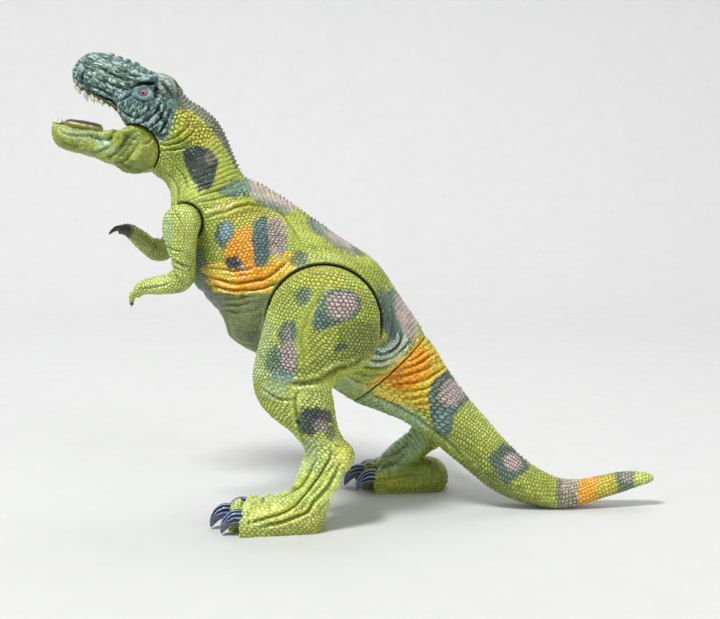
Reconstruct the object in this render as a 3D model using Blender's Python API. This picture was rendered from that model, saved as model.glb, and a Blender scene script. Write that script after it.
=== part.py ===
"""Jointed toy dinosaur: a striding, open-mouthed meat eater about 30 cm long.

Two moulded half shells make the upper head, neck, trunk and hips. A hinged lower jaw, two arms,
two legs and the tail turn on pegs that are held inside the shells. The figure faces -X, its left
side is -Y and +Z is up. The origin is on the table, under the middle of the figure's box.
"""
import math

import bmesh
import bpy
from mathutils import Matrix, Vector

# Overall sizes, in metres
FIGURE_LENGTH = 0.306
FIGURE_HEIGHT = 0.234
BODY_WIDTH = 0.052

# Shells and the fits that they share
WALL = 0.0022
SEAM_GAP = 0.0003
SEAT_GAP = 0.0003
RUNNING_GAP = 0.00008
POCKET_GAP = 0.0005
OVERRUN = 0.002
WELD_STEPS = (0.000001, 0, 0.000004, 0.00001, 0.00003)
FLAT_ANGLE = math.radians(0.05)
END_WALL = 0.0026
BOSS_RADIUS = 0.0034
SCREW_HEAD_RADIUS = 0.0027
SCREW_HEAD_HEIGHT = 0.0018
SCREW_SHANK_RADIUS = 0.0011
SCREW_LENGTH = 0.013
SCREW_SINK = 0.0075

# Jaw hinge
JAW_DISC_RADIUS = 0.0118
JAW_CORE_WIDTH = 0.021
JAW_CORE_RADIUS = 0.0115
JAW_EAR_THICKNESS = 0.0054
JAW_AXLE_RADIUS = 0.0019
JAW_AXLE_LENGTH = 0.028
TOOTH_LENGTH = 0.0046
TOOTH_RADIUS = 0.0012
PALATE_THICKNESS = 0.0024
FLOOR_THICKNESS = 0.0026
TONGUE_HEIGHT = 0.0062

# Hips and legs
THIGH_DISC_RADIUS = 0.0273
HIP_POCKET_DEPTH = 0.0045
LEG_SWING_GAP = 0.0007
LEG_THICKNESS = 0.0196
HIP_HUB_RADIUS = 0.008
HIP_WASHER_RADIUS = 0.012
HIP_WASHER_THICKNESS = 0.0016
HIP_SCREW_RADIUS = 0.0016
HIP_SCREW_HEAD_RADIUS = 0.0034
HIP_SCREW_HEAD_HEIGHT = 0.0022
HIP_SCREW_LENGTH = 0.012
FOOT_LENGTH = 0.048
FOOT_HEIGHT = 0.0165
FOOT_WIDTH = 0.030
CLAW_LENGTH = 0.0105
CLAW_RADIUS = 0.0037

# Shoulders and arms
SHOULDER_DISC_RADIUS = 0.0088
SHOULDER_FLOOR = 0.0158
ARM_THICKNESS = 0.0115
ARM_PLANE = 0.0262
SHOULDER_BED = 0.005
SHOULDER_PEG_RADIUS = 0.003
RETAINER_RADIUS = 0.0046
RETAINER_THICKNESS = 0.0018
FINGER_RADIUS = 0.0015
FINGER_LENGTH = 0.0066
RIGHT_ARM_LIFT = math.radians(47)

# Tail joint
TAIL_GAP = 0.0006
TAIL_PEG_RADIUS = 0.008
TAIL_FLANGE_RADIUS = 0.0115
TAIL_FLANGE_THICKNESS = 0.002
TAIL_SOCKET_DEPTH = 0.014
TAIL_KEY_WIDTH = 0.003
TAIL_KEY_HEIGHT = 0.0022
TAIL_SCREW_RADIUS = 0.0016
TAIL_SCREW_HEAD_RADIUS = 0.0034
TAIL_SCREW_HEAD_HEIGHT = 0.0022
TAIL_SCREW_LENGTH = 0.012

# Rounded forms on the skin
MUSCLE_HEIGHT = 0.0014
MUSCLE_DEPTH = 0.009
BACK_RIDGE_HEIGHT = 0.0011
HIP_COLLAR_WIDTH = 0.0052
HIP_COLLAR_LIP = 0.0016
HIP_COLLAR_DROP = 0.006
BODY_TAPER_SHARE = 0.22
SKULL_POWER = 2.8
TRUNK_POWER = 2.3
JAW_POWER = 2.6
LIMB_POWER = 2.2
FOOT_POWER = 2.8
TONGUE_POWER = 2

# Facets round one turn
BODY_SEGMENTS = 22
LIMB_SEGMENTS = 16
DISC_SEGMENTS = 26
PEG_SEGMENTS = 16
FOOT_SEGMENTS = 12
TRAY_SEGMENTS = 12
TOE_SEGMENTS = 10
SCREW_SEGMENTS = 8
CLAW_SEGMENTS = 6
TOOTH_SEGMENTS = 4

# Each row is one cross-section: its upper or front edge point and its lower or rear edge point in the
# side view, as shares of the figure's length and height, then its half width as a share of half the
# body's width (body, tail, jaw) or of the limb's thickness (legs, arms).
HEAD_SECTION_SHARES = [
    (-0.461, 0.959, -0.461, 0.944, 0.12),
    (-0.456, 0.969, -0.458, 0.927, 0.27),
    (-0.446, 0.982, -0.449, 0.915, 0.35),
    (-0.428, 0.992, -0.431, 0.903, 0.40),
    (-0.407, 0.987, -0.415, 0.891, 0.43),
    (-0.387, 0.978, -0.401, 0.886, 0.48),
    (-0.368, 0.970, -0.390, 0.872, 0.55),
    (-0.350, 0.960, -0.381, 0.850, 0.61),
    (-0.332, 0.945, -0.370, 0.822, 0.64),
    (-0.314, 0.940, -0.360, 0.788, 0.65),
    (-0.297, 0.923, -0.350, 0.756, 0.63),
    (-0.281, 0.895, -0.333, 0.735, 0.62),
    (-0.260, 0.878, -0.319, 0.722, 0.62),
]
TRUNK_SECTION_SHARES = [
    (-0.237, 0.850, -0.310, 0.699, 0.62),
    (-0.219, 0.812, -0.309, 0.671, 0.64),
    (-0.206, 0.769, -0.310, 0.637, 0.68),
    (-0.190, 0.731, -0.309, 0.598, 0.75),
    (-0.160, 0.712, -0.301, 0.566, 0.84),
    (-0.127, 0.686, -0.288, 0.534, 0.91),
    (-0.096, 0.658, -0.270, 0.498, 0.96),
    (-0.065, 0.630, -0.247, 0.464, 0.99),
    (-0.034, 0.603, -0.225, 0.425, 1.00),
    (-0.003, 0.577, -0.212, 0.382, 1.00),
    (0.023, 0.553, -0.176, 0.353, 0.99),
    (0.042, 0.524, -0.137, 0.329, 0.98),
    (0.060, 0.487, -0.098, 0.310, 0.95),
    (0.077, 0.453, -0.065, 0.291, 0.91),
    (0.092, 0.421, -0.038, 0.267, 0.85),
    (0.108, 0.389, -0.014, 0.247, 0.78),
]
TAIL_SECTION_SHARES = [
    (0.119, 0.370, 0.011, 0.233, 0.75),
    (0.147, 0.312, 0.069, 0.203, 0.67),
    (0.162, 0.284, 0.096, 0.179, 0.62),
    (0.178, 0.256, 0.121, 0.156, 0.58),
    (0.196, 0.226, 0.145, 0.128, 0.53),
    (0.216, 0.197, 0.168, 0.103, 0.48),
    (0.235, 0.167, 0.191, 0.077, 0.44),
    (0.257, 0.137, 0.216, 0.050, 0.40),
    (0.279, 0.109, 0.245, 0.028, 0.37),
    (0.306, 0.085, 0.281, 0.011, 0.34),
    (0.333, 0.068, 0.320, 0.000, 0.31),
    (0.359, 0.062, 0.355, 0.000, 0.28),
    (0.386, 0.064, 0.386, 0.011, 0.25),
    (0.415, 0.073, 0.417, 0.024, 0.22),
    (0.444, 0.080, 0.446, 0.036, 0.19),
    (0.474, 0.081, 0.474, 0.049, 0.14),
    (0.500, 0.070, 0.500, 0.063, 0.03),
]
JAW_SECTION_SHARES = [
    (-0.498, 0.844, -0.500, 0.827, 0.10),
    (-0.493, 0.850, -0.495, 0.806, 0.23),
    (-0.484, 0.846, -0.485, 0.794, 0.31),
    (-0.467, 0.840, -0.467, 0.786, 0.36),
    (-0.446, 0.835, -0.446, 0.780, 0.40),
    (-0.423, 0.830, -0.423, 0.769, 0.46),
    (-0.400, 0.822, -0.400, 0.756, 0.52),
    (-0.383, 0.827, -0.381, 0.745, 0.58),
    (-0.355, 0.836, -0.355, 0.744, 0.60),
]
LEFT_LEG_SHARES = [
    (-0.089, 0.545, -0.026, 0.545, 0.26),
    (-0.125, 0.513, 0.009, 0.513, 0.49),
    (-0.143, 0.470, 0.028, 0.470, 0.60),
    (-0.151, 0.432, 0.031, 0.425, 0.64),
    (-0.158, 0.397, 0.026, 0.385, 0.64),
    (-0.165, 0.363, 0.003, 0.348, 0.63),
    (-0.169, 0.331, -0.025, 0.328, 0.60),
    (-0.167, 0.299, -0.044, 0.303, 0.56),
    (-0.158, 0.271, -0.042, 0.274, 0.53),
    (-0.141, 0.244, -0.039, 0.246, 0.50),
    (-0.118, 0.220, -0.035, 0.218, 0.46),
    (-0.096, 0.194, -0.025, 0.192, 0.42),
    (-0.088, 0.167, -0.010, 0.169, 0.41),
    (-0.093, 0.141, -0.011, 0.143, 0.42),
    (-0.100, 0.118, -0.026, 0.113, 0.45),
    (-0.108, 0.090, -0.042, 0.083, 0.48),
    (-0.118, 0.060, -0.052, 0.051, 0.51),
    (-0.118, 0.026, -0.056, 0.019, 0.51),
]
RIGHT_LEG_SHARES = [
    (-0.089, 0.545, -0.026, 0.545, 0.26),
    (-0.125, 0.513, 0.009, 0.513, 0.49),
    (-0.143, 0.470, 0.028, 0.470, 0.60),
    (-0.142, 0.432, 0.031, 0.425, 0.64),
    (-0.131, 0.393, 0.033, 0.385, 0.64),
    (-0.114, 0.350, 0.031, 0.350, 0.63),
    (-0.095, 0.312, 0.031, 0.321, 0.60),
    (-0.072, 0.278, 0.036, 0.299, 0.56),
    (-0.046, 0.248, 0.049, 0.282, 0.53),
    (-0.010, 0.218, 0.072, 0.261, 0.49),
    (0.026, 0.192, 0.105, 0.240, 0.46),
    (0.062, 0.172, 0.135, 0.216, 0.43),
    (0.088, 0.158, 0.157, 0.186, 0.42),
    (0.092, 0.144, 0.160, 0.146, 0.41),
    (0.080, 0.127, 0.144, 0.110, 0.41),
    (0.058, 0.104, 0.118, 0.078, 0.42),
    (0.038, 0.077, 0.098, 0.050, 0.44),
    (0.024, 0.048, 0.086, 0.020, 0.46),
]
ARM_SECTION_SHARES = [
    (-0.291, 0.677, -0.270, 0.676, 0.26),
    (-0.306, 0.658, -0.257, 0.660, 0.47),
    (-0.310, 0.632, -0.252, 0.637, 0.56),
    (-0.307, 0.605, -0.257, 0.605, 0.56),
    (-0.295, 0.553, -0.261, 0.543, 0.49),
    (-0.299, 0.541, -0.264, 0.519, 0.47),
    (-0.307, 0.533, -0.278, 0.500, 0.44),
    (-0.319, 0.531, -0.301, 0.494, 0.42),
    (-0.346, 0.521, -0.340, 0.493, 0.38),
    (-0.355, 0.511, -0.350, 0.486, 0.34),
    (-0.358, 0.502, -0.354, 0.491, 0.22),
]

# Joint centres and screw places in the side view, as shares of the figure's length and height
HIP_SHARES = (-0.0575, 0.436)
SHOULDER_SHARES = (-0.281, 0.640)
JAW_PIVOT_SHARES = (-0.3595, 0.790)
SCREW_PLACE_SHARES = [(-0.262, 0.775), (-0.245, 0.640), (-0.150, 0.640), (-0.170, 0.420), (0.048, 0.472)]

# Heels of the two feet, as shares of the figure's length
LEFT_HEEL_SHARE = -0.054
RIGHT_HEEL_SHARE = 0.158

# The foot from heel to toes: place along its length, height, half width and height of the lower side,
# as shares of its sizes
FOOT_SECTION_SHARES = [
    (0.00, 0.56, 0.15, 0.24),
    (0.04, 0.76, 0.25, 0.05),
    (0.14, 0.98, 0.33, -0.20),
    (0.34, 1.06, 0.38, -0.20),
    (0.52, 1.00, 0.42, -0.20),
    (0.68, 0.88, 0.44, -0.20),
    (0.74, 0.70, 0.41, -0.20),
]
# Each toe: where it starts and ends along the foot, and its offset outwards at both ends
TOE_SHARES = [(0.62, 1.00, 0.02, 0.03), (0.52, 0.87, 0.24, 0.345), (0.52, 0.86, -0.22, -0.31)]
TOE_HEIGHT_SHARES = (0.82, 0.98, 0.80, 0.90, 0.72)
TOE_WIDTH_SHARES = (0.155, 0.165, 0.150, 0.165, 0.135)
TOE_SOLE_SHARE = -0.15
# Each ring of a claw: its place along the claw, its height on the foot and its radius
CLAW_RING_SHARES = [
    (-0.25, 0.56, 1.0),
    (0.20, 0.58, 1.0),
    (0.55, 0.46, 0.76),
    (0.85, 0.24, 0.42),
    (1.00, 0.05, 0.08),
]
CLAW_TILT_SHARE = 0.9

# Muscles that swell out of the skin: centre in the side view, length and width as shares of the
# figure's length, turn in degrees, and height as a share of the highest one
BODY_SWELLING_SHARES = [
    (-0.195, 0.671, 0.060, 0.020, 14, 1.0),
    (-0.230, 0.614, 0.026, 0.038, 0, 0.8),
    (-0.155, 0.610, 0.044, 0.044, 0, 0.7),
    (-0.192, 0.434, 0.036, 0.045, 0, 0.8),
    (-0.256, 0.769, 0.028, 0.038, -15, 0.8),
    (-0.229, 0.501, 0.028, 0.020, -20, 0.7),
    (-0.274, 0.854, 0.026, 0.022, 20, 0.7),
    (-0.047, 0.585, 0.058, 0.020, -35, 0.8),
    (0.056, 0.417, 0.026, 0.042, 0, 0.7),
]
THIGH_SWELLING_SHARES = [
    (-0.023, 0.466, 0.058, 0.062, 0, 0.9),
    (-0.110, 0.408, 0.036, 0.076, -12, 0.9),
]
SHANK_SWELLING_SHARES = [
    (-0.067, 0.278, 0.030, 0.044, 15, 1.0),
    (-0.024, 0.164, 0.022, 0.028, 0, 1.0),
    (-0.128, 0.313, 0.034, 0.026, -30, 0.7),
    (-0.171, 0.077, 0.026, 0.020, 0, 0.7),
    (-0.091, 0.217, 0.022, 0.034, 20, 0.6),
    (-0.047, 0.090, 0.022, 0.034, -30, 0.6),
]
# The ridge along the back, section by section from the nape to the hips
BACK_RIDGE_SHARES = (0.2, 1.0, 0.5, 1.0, 0.4, 1.0, 0.5, 0.9, 0.3, 0.9, 0.4, 0.9, 0.5, 0.9, 0.4, 0.6, 0.0)

# Mouth: places along the head's or the jaw's sections, where whole numbers are the sections themselves.
# Tooth rows add the length as a share of the longest tooth, the tongue its height and half width.
PALATE_PLACE_SHARES = (0.85, 1.6, 2.4, 3.4, 4.45, 5.4, 6.1)
PALATE_WIDTH_SHARE = 0.80
UPPER_TOOTH_SHARES = [(1.0, 0.55), (1.75, 0.65), (2.5, 1.0), (3.2, 0.75), (3.85, 0.65), (4.5, 0.50)]
TRAY_PLACE_SHARES = (1.8, 2.45, 3.4, 4.4, 5.2)
TRAY_WIDTH_SHARE = 0.62
TONGUE_SHARES = [(2.2, 0.62, 0.24), (2.7, 0.90, 0.40), (3.6, 1.0, 0.46), (4.6, 1.0, 0.44), (5.1, 0.90, 0.36)]
LOWER_TOOTH_SHARES = [(1.2, 0.70), (2.0, 0.55), (2.8, 0.40)]
RIM_WIDTH_SHARE = 0.80
TRAY_POWER = 4
TRAY_POCKET_POWER = 8

SKIN = (0.42, 0.50, 0.10)
HEAD_TEAL = (0.16, 0.27, 0.24)
IVORY = (0.78, 0.74, 0.58)
MOUTH = (0.36, 0.26, 0.16)
WHITE_PLASTIC = (0.72, 0.72, 0.70)
STEEL = (0.62, 0.62, 0.64)


def side_point(length_share, height_share):
    """A point of the middle plane from its shares of the figure's length and height."""
    return Vector((length_share * FIGURE_LENGTH, 0, height_share * FIGURE_HEIGHT))


HIP = side_point(*HIP_SHARES)
SHOULDER = side_point(*SHOULDER_SHARES)
JAW_PIVOT = side_point(*JAW_PIVOT_SHARES)
SIDE = Vector((0, 1, 0))
HALF_WIDTH = BODY_WIDTH / 2
HIP_FLOOR = HALF_WIDTH - HIP_POCKET_DEPTH
LEG_INNER = HALF_WIDTH + LEG_SWING_GAP
SEAM_TOP = side_point(*TRUNK_SECTION_SHARES[-1][0:2])
SEAM_BOTTOM = side_point(*TRUNK_SECTION_SHARES[-1][2:4])
SEAM_CENTRE = (SEAM_TOP + SEAM_BOTTOM) / 2
TAIL_AXIS = SIDE.cross(SEAM_TOP - SEAM_BOTTOM).normalized()


def clear_scene():
    """Removes every object of the start file."""
    for old in list(bpy.data.objects):
        bpy.data.objects.remove(old, do_unlink=True)


def new_object(name, bm):
    """A mesh object whose faces point out, made from a bmesh."""
    bmesh.ops.recalc_face_normals(bm, faces=bm.faces)
    bmesh.ops.triangulate(bm, faces=bm.faces)
    mesh = bpy.data.meshes.new(name)
    bm.to_mesh(mesh)
    bm.free()
    part = bpy.data.objects.new(name, mesh)
    bpy.context.scene.collection.objects.link(part)
    return part


def skin_rings(name, rings):
    """Joins closed rings of equal count into one capped solid."""
    bm = bmesh.new()
    loops = [[bm.verts.new(point) for point in ring] for ring in rings]
    count = len(loops[0])
    for first, second in zip(loops, loops[1:]):
        for k in range(count):
            after = (k + 1) % count
            bm.faces.new((first[k], first[after], second[after], second[k]))
    bm.faces.new(list(reversed(loops[0])))
    bm.faces.new(loops[-1])
    return new_object(name, bm)


def section_ring(top, bottom, outer, inner, plane, power, taper, count):
    """A rounded cross-section between two edge points, outer and inner being its half widths."""
    centre = (top + bottom) / 2
    half = (top - bottom) / 2
    ring = []
    for k in range(count):
        turn = 2 * math.pi * k / count
        along = math.copysign(abs(math.cos(turn)) ** (2 / power), math.cos(turn))
        across = math.copysign(abs(math.sin(turn)) ** (2 / power), math.sin(turn))
        width = outer if across > 0 else inner
        width = width * (1 - taper * max(along, 0))
        ring.append(centre + half * along + SIDE * (plane + across * width))
    return ring


def circle_ring(centre, axis, radius, count, start=None):
    """A circle of points round an axis, the first of them towards a start direction if there is one."""
    axis = axis.normalized()
    first = start or axis.cross(Vector((0, 0, 1)) if abs(axis.z) < 1 / 2 else Vector((1, 0, 0))).normalized()
    second = axis.cross(first)
    turns = [2 * math.pi * k / count for k in range(count)]
    return [centre + first * (radius * math.cos(t)) + second * (radius * math.sin(t)) for t in turns]


def turned(name, centre, axis, profile, count):
    """A solid of revolution from (distance along the axis, radius) pairs."""
    axis = axis.normalized()
    rings = [circle_ring(centre + axis * along, axis, radius, count) for along, radius in profile]
    return skin_rings(name, rings)


def washer(name, centre, axis, start, end, hole, outer, count):
    """A flat ring between two distances along its axis."""
    axis = axis.normalized()
    bm = bmesh.new()
    corners = [(start, hole), (start, outer), (end, outer), (end, hole)]
    loops = [[bm.verts.new(p) for p in circle_ring(centre + axis * along, axis, radius, count)]
             for along, radius in corners]
    for first, second in zip(loops, loops[1:] + loops[:1]):
        for k in range(count):
            after = (k + 1) % count
            bm.faces.new((first[k], first[after], second[after], second[k]))
    return new_object(name, bm)


def block(name, low, high):
    """A box between two corners."""
    bm = bmesh.new()
    bmesh.ops.create_cube(bm, size=1)
    size = Vector(high) - Vector(low)
    middle = (Vector(high) + Vector(low)) / 2
    bmesh.ops.transform(bm, matrix=Matrix.Translation(middle) @ Matrix.Diagonal((*size, 1)), verts=bm.verts)
    return new_object(name, bm)


def combine(part, tool, operation):
    """Applies one exact Boolean and removes the tool."""
    modifier = part.modifiers.new(operation.lower(), "BOOLEAN")
    modifier.operation = operation
    modifier.solver = "EXACT"
    modifier.object = tool
    graph = bpy.context.evaluated_depsgraph_get()
    result = bpy.data.meshes.new_from_object(part.evaluated_get(graph))
    old = part.data
    part.modifiers.clear()
    part.data = result
    bpy.data.meshes.remove(old)
    bpy.data.objects.remove(tool, do_unlink=True)
    tidy_cut(result)
    return part


def is_closed(bm):
    """Whether each edge has two faces."""
    return all(len(edge.link_faces) == 2 for edge in bm.edges)


def tidy_cut(mesh):
    """Joins flat faces again and welds the doubled points of a cut, as little as leaves it closed."""
    for flat_angle in (FLAT_ANGLE, 0):
        for weld in WELD_STEPS:
            bm = bmesh.new()
            bm.from_mesh(mesh)
            if weld:
                bmesh.ops.remove_doubles(bm, verts=bm.verts, dist=weld)
                bmesh.ops.dissolve_degenerate(bm, edges=bm.edges, dist=weld)
            if flat_angle:
                bmesh.ops.dissolve_limit(bm, angle_limit=flat_angle, verts=bm.verts, edges=bm.edges)
            bmesh.ops.triangulate(bm, faces=bm.faces)
            good = is_closed(bm)
            if good:
                bm.to_mesh(mesh)
            bm.free()
            if good:
                return


def gathered(tools):
    """Puts tools that stay clear of each other into one object."""
    bm = bmesh.new()
    for tool in tools:
        bm.from_mesh(tool.data)
        bpy.data.objects.remove(tool, do_unlink=True)
    return new_object("tools", bm)


def cut(part, *tools):
    """Takes tools away. They have to be clear of each other."""
    return combine(part, gathered(tools), "DIFFERENCE")


def fuse(part, *tools):
    """Adds tools. They have to be clear of each other."""
    return combine(part, gathered(tools), "UNION")


def copy_of(part, name):
    """A second object with its own mesh."""
    twin = part.copy()
    twin.data = part.data.copy()
    twin.name = name
    bpy.context.scene.collection.objects.link(twin)
    return twin


def mirrored(part):
    """Flips a solid to the other side of the middle plane."""
    part.data.transform(Matrix.Diagonal((1, -1, 1, 1)))
    part.data.flip_normals()
    return part


def body_power(index):
    """How square a section is: the skull is boxier than the trunk."""
    return SKULL_POWER if index < len(HEAD_SECTION_SHARES) - 3 else TRUNK_POWER


def swelling(point, swellings):
    """How far muscles raise a point of the skin, from the ovals that it lies in in the side view."""
    rise = 0
    for length_share, height_share, long_share, wide_share, turn, rise_share in swellings:
        off = point - side_point(length_share, height_share)
        along = Vector((math.cos(math.radians(turn)), 0, math.sin(math.radians(turn))))
        across = Vector((-along.z, 0, along.x))
        reach = (off.dot(along) / long_share) ** 2 + (off.dot(across) / wide_share) ** 2
        rise += rise_share * max(1 - reach / FIGURE_LENGTH ** 2, 0)
    return rise * MUSCLE_HEIGHT


def muscled(rings, swellings, plane, limit):
    """Moves the points of rings out sideways where muscles swell, but not beyond a limit."""
    moved = []
    for ring in rings:
        row = []
        for point in ring:
            away = point.y - plane
            rise = swelling(point, swellings) * min(abs(away) / MUSCLE_DEPTH, 1)
            if plane and away < 0:
                rise = 0
            rise = max(min(rise, limit - abs(away)), 0)
            row.append(point + SIDE * math.copysign(rise, away))
        moved.append(row)
    return moved

def body_rings(shares, first_index, inset, count):
    """Rings of the body's sections, drawn in from the skin by an inset."""
    rings = []
    for index, (top_x, top_z, low_x, low_z, width_share) in enumerate(shares, first_index):
        top = side_point(top_x, top_z)
        bottom = side_point(low_x, low_z)
        inwards = (bottom - top).normalized() * inset
        width = width_share * HALF_WIDTH - inset
        rings.append(section_ring(top + inwards, bottom - inwards, width, width, 0,
                                  body_power(index), BODY_TAPER_SHARE, count))
    return rings


def ridged(rings, first_index):
    """Raises the uppermost points of rings into the ridge along the back."""
    for ring, share in zip(rings[first_index:], BACK_RIDGE_SHARES):
        up = (ring[0] - ring[len(ring) // 2]).normalized()
        ring[0] += up * (BACK_RIDGE_HEIGHT * share)
    return rings


def hip_collar(side):
    """The raised skin round one hip, level with the widest part of the trunk."""
    inner = THIGH_DISC_RADIUS + POCKET_GAP
    outer = inner + HIP_COLLAR_WIDTH
    profile = [(HIP_FLOOR - HIP_POCKET_DEPTH * 3, outer), (HALF_WIDTH - HIP_COLLAR_DROP, outer),
               (HALF_WIDTH - HIP_COLLAR_DROP / 4, (inner + outer) / 2), (HALF_WIDTH, inner + HIP_COLLAR_LIP)]
    return turned("collar", HIP, SIDE * side, profile, DISC_SEGMENTS)


def body_blank():
    """The closed outer form of the upper head, neck, trunk and hips."""
    shares = HEAD_SECTION_SHARES + TRUNK_SECTION_SHARES
    rings = ridged(body_rings(shares, 0, 0, BODY_SEGMENTS), len(HEAD_SECTION_SHARES) - 1)
    blank = skin_rings("blank", muscled(rings, BODY_SWELLING_SHARES, 0, HALF_WIDTH))
    fuse(blank, hip_collar(-1), hip_collar(1))
    core = turned("core", JAW_PIVOT, SIDE, [(-JAW_CORE_WIDTH / 2, JAW_CORE_RADIUS),
                                           (JAW_CORE_WIDTH / 2, JAW_CORE_RADIUS)], PEG_SEGMENTS)
    return fuse(blank, core, brow_ridge(-1), brow_ridge(1))


def brow_ridge(side):
    """The bony ridge over one eye."""
    middle = side_point(-0.342, 0.930) + SIDE * (side * 0.40 * HALF_WIDTH)
    length = 0.046 * FIGURE_LENGTH
    thickness = 0.09 * HALF_WIDTH
    direction = Vector((1, 0, -0.30)).normalized()
    profile = [(-length, thickness * 0.3), (-length * 0.6, thickness), (length * 0.4, thickness * 1.2),
               (length * 0.8, thickness * 0.9), (length, thickness * 0.3)]
    return turned("brow", middle, direction, profile, 8)


def cavity():
    """The hollow of the neck and trunk, left solid round the bosses, hips and shoulders."""
    rings = body_rings(TRUNK_SECTION_SHARES[:-1], len(HEAD_SECTION_SHARES), WALL, LIMB_SEGMENTS)
    end = body_rings(TRUNK_SECTION_SHARES[-1:], len(HEAD_SECTION_SHARES), WALL, LIMB_SEGMENTS)[0]
    rings.append([point - TAIL_AXIS * END_WALL for point in end])
    hollow = skin_rings("hollow", rings)
    cut(hollow, *[turned("boss", side_point(*place), SIDE, [(-BODY_WIDTH, BOSS_RADIUS),
                                                            (BODY_WIDTH, BOSS_RADIUS)], PEG_SEGMENTS)
                  for place in SCREW_PLACE_SHARES])
    beds = []
    for side in (-1, 1):
        for centre, depth, radius in ((HIP, HIP_FLOOR - WALL, THIGH_DISC_RADIUS),
                                      (SHOULDER, SHOULDER_FLOOR - SHOULDER_BED, SHOULDER_DISC_RADIUS)):
            beds.append(turned("bed", centre, SIDE * side,
                               [(depth, radius + POCKET_GAP + WALL),
                                (BODY_WIDTH, radius + POCKET_GAP + WALL)], DISC_SEGMENTS))
    room = SHOULDER_FLOOR - SHOULDER_BED - SEAT_GAP / 2
    return fuse(cut(hollow, *beds), turned("room", SHOULDER, SIDE, [(-room, RETAINER_RADIUS + POCKET_GAP),
                                                                    (room, RETAINER_RADIUS + POCKET_GAP)],
                                           PEG_SEGMENTS))


def side_pockets(side):
    """Cutters of one side: hip and shoulder pockets with their peg holes, and the jaw ear's pocket."""
    out = SIDE * side
    pockets = []
    for centre, depth, floor, hole, radius, count in (
            (HIP, WALL, HIP_FLOOR, HIP_HUB_RADIUS, THIGH_DISC_RADIUS, DISC_SEGMENTS),
            (SHOULDER, SHOULDER_BED, SHOULDER_FLOOR, SHOULDER_PEG_RADIUS, SHOULDER_DISC_RADIUS,
             PEG_SEGMENTS)):
        pockets.append(turned("pocket", centre, out,
                              [(floor - depth - OVERRUN, hole + RUNNING_GAP), (floor, hole + RUNNING_GAP),
                               (floor, radius + POCKET_GAP), (BODY_WIDTH, radius + POCKET_GAP)], count))
    pockets.append(turned("ear_pocket", JAW_PIVOT, out,
                          [(JAW_CORE_WIDTH / 2, JAW_DISC_RADIUS + POCKET_GAP),
                           (BODY_WIDTH, JAW_DISC_RADIUS + POCKET_GAP)], DISC_SEGMENTS))
    return pockets


def palate_rings(grow, proud, power):
    """Rings of the palate plate: under the upper jaw, from the snout to the cheeks."""
    rings = []
    for place in PALATE_PLACE_SHARES:
        bottom, top, width = on_sections(HEAD_SECTION_SHARES, place, PALATE_WIDTH_SHARE)
        up = (top - bottom).normalized()
        rings.append(section_ring(bottom + up * (PALATE_THICKNESS + grow), bottom - up * proud,
                                  width + grow, width + grow, 0, power, 0, TRAY_SEGMENTS))
    return rings


def half_shells():
    """The two moulded halves, split on the middle plane."""
    whole = cut(body_blank(), cavity())
    cut(whole, *side_pockets(-1), *side_pockets(1))
    cut(whole,
        skin_rings("palate_pocket", palate_rings(SEAT_GAP, OVERRUN, TRAY_POCKET_POWER)),
        turned("tail_hole", SEAM_CENTRE, TAIL_AXIS,
               [(-END_WALL - OVERRUN, TAIL_PEG_RADIUS + RUNNING_GAP),
                (OVERRUN, TAIL_PEG_RADIUS + RUNNING_GAP)], DISC_SEGMENTS),
        turned("axle_hole", JAW_PIVOT, SIDE, [(-JAW_CORE_WIDTH, JAW_AXLE_RADIUS + RUNNING_GAP),
                                              (JAW_CORE_WIDTH, JAW_AXLE_RADIUS + RUNNING_GAP)], PEG_SEGMENTS))
    left = copy_of(whole, "body_shell_left")
    right = whole
    right.name = "body_shell_right"
    reach = FIGURE_LENGTH
    cut(left, block("split", (-reach, -SEAM_GAP / 2, -reach), (reach, BODY_WIDTH, reach)))
    cut(right, block("split", (-reach, -BODY_WIDTH, -reach), (reach, SEAM_GAP / 2, reach)))
    centres = [side_point(*place) for place in SCREW_PLACE_SHARES]
    through = [(-OVERRUN, SCREW_SHANK_RADIUS + SEAT_GAP), (SCREW_SINK, SCREW_SHANK_RADIUS + SEAT_GAP),
               (SCREW_SINK, SCREW_HEAD_RADIUS + SEAT_GAP), (BODY_WIDTH, SCREW_HEAD_RADIUS + SEAT_GAP)]
    pilot = [(-OVERRUN, SCREW_SHANK_RADIUS + RUNNING_GAP),
             (SCREW_LENGTH - SCREW_SINK + OVERRUN, SCREW_SHANK_RADIUS + RUNNING_GAP)]
    cut(right, *[turned("through", centre, SIDE, through, SCREW_SEGMENTS) for centre in centres])
    cut(left, *[turned("pilot", centre, -SIDE, pilot, SCREW_SEGMENTS) for centre in centres])
    return left, right


def screw(name, seat, axis, head_radius, head_height, shank_radius, length):
    """A pan-head screw whose shank runs from its seat along the axis."""
    profile = [(length, shank_radius * 0.3), (length - shank_radius * 2, shank_radius), (0, shank_radius),
               (0, head_radius), (-head_height * 0.6, head_radius), (-head_height, head_radius * 0.7)]
    return turned(name, seat, axis, list(reversed(profile)), SCREW_SEGMENTS)


def body_screw(number, place):
    """One of the screws that close the shells, driven in from the right side."""
    seat = side_point(*place) + SIDE * (SCREW_SINK + SEAT_GAP)
    return screw("body_screw_%d" % number, seat, -SIDE, SCREW_HEAD_RADIUS, SCREW_HEAD_HEIGHT,
                 SCREW_SHANK_RADIUS, SCREW_LENGTH)


def jaw_axle():
    half = JAW_AXLE_LENGTH / 2
    return turned("jaw_axle", JAW_PIVOT, SIDE, [(-half, JAW_AXLE_RADIUS), (half, JAW_AXLE_RADIUS)],
                  PEG_SEGMENTS)


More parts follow.
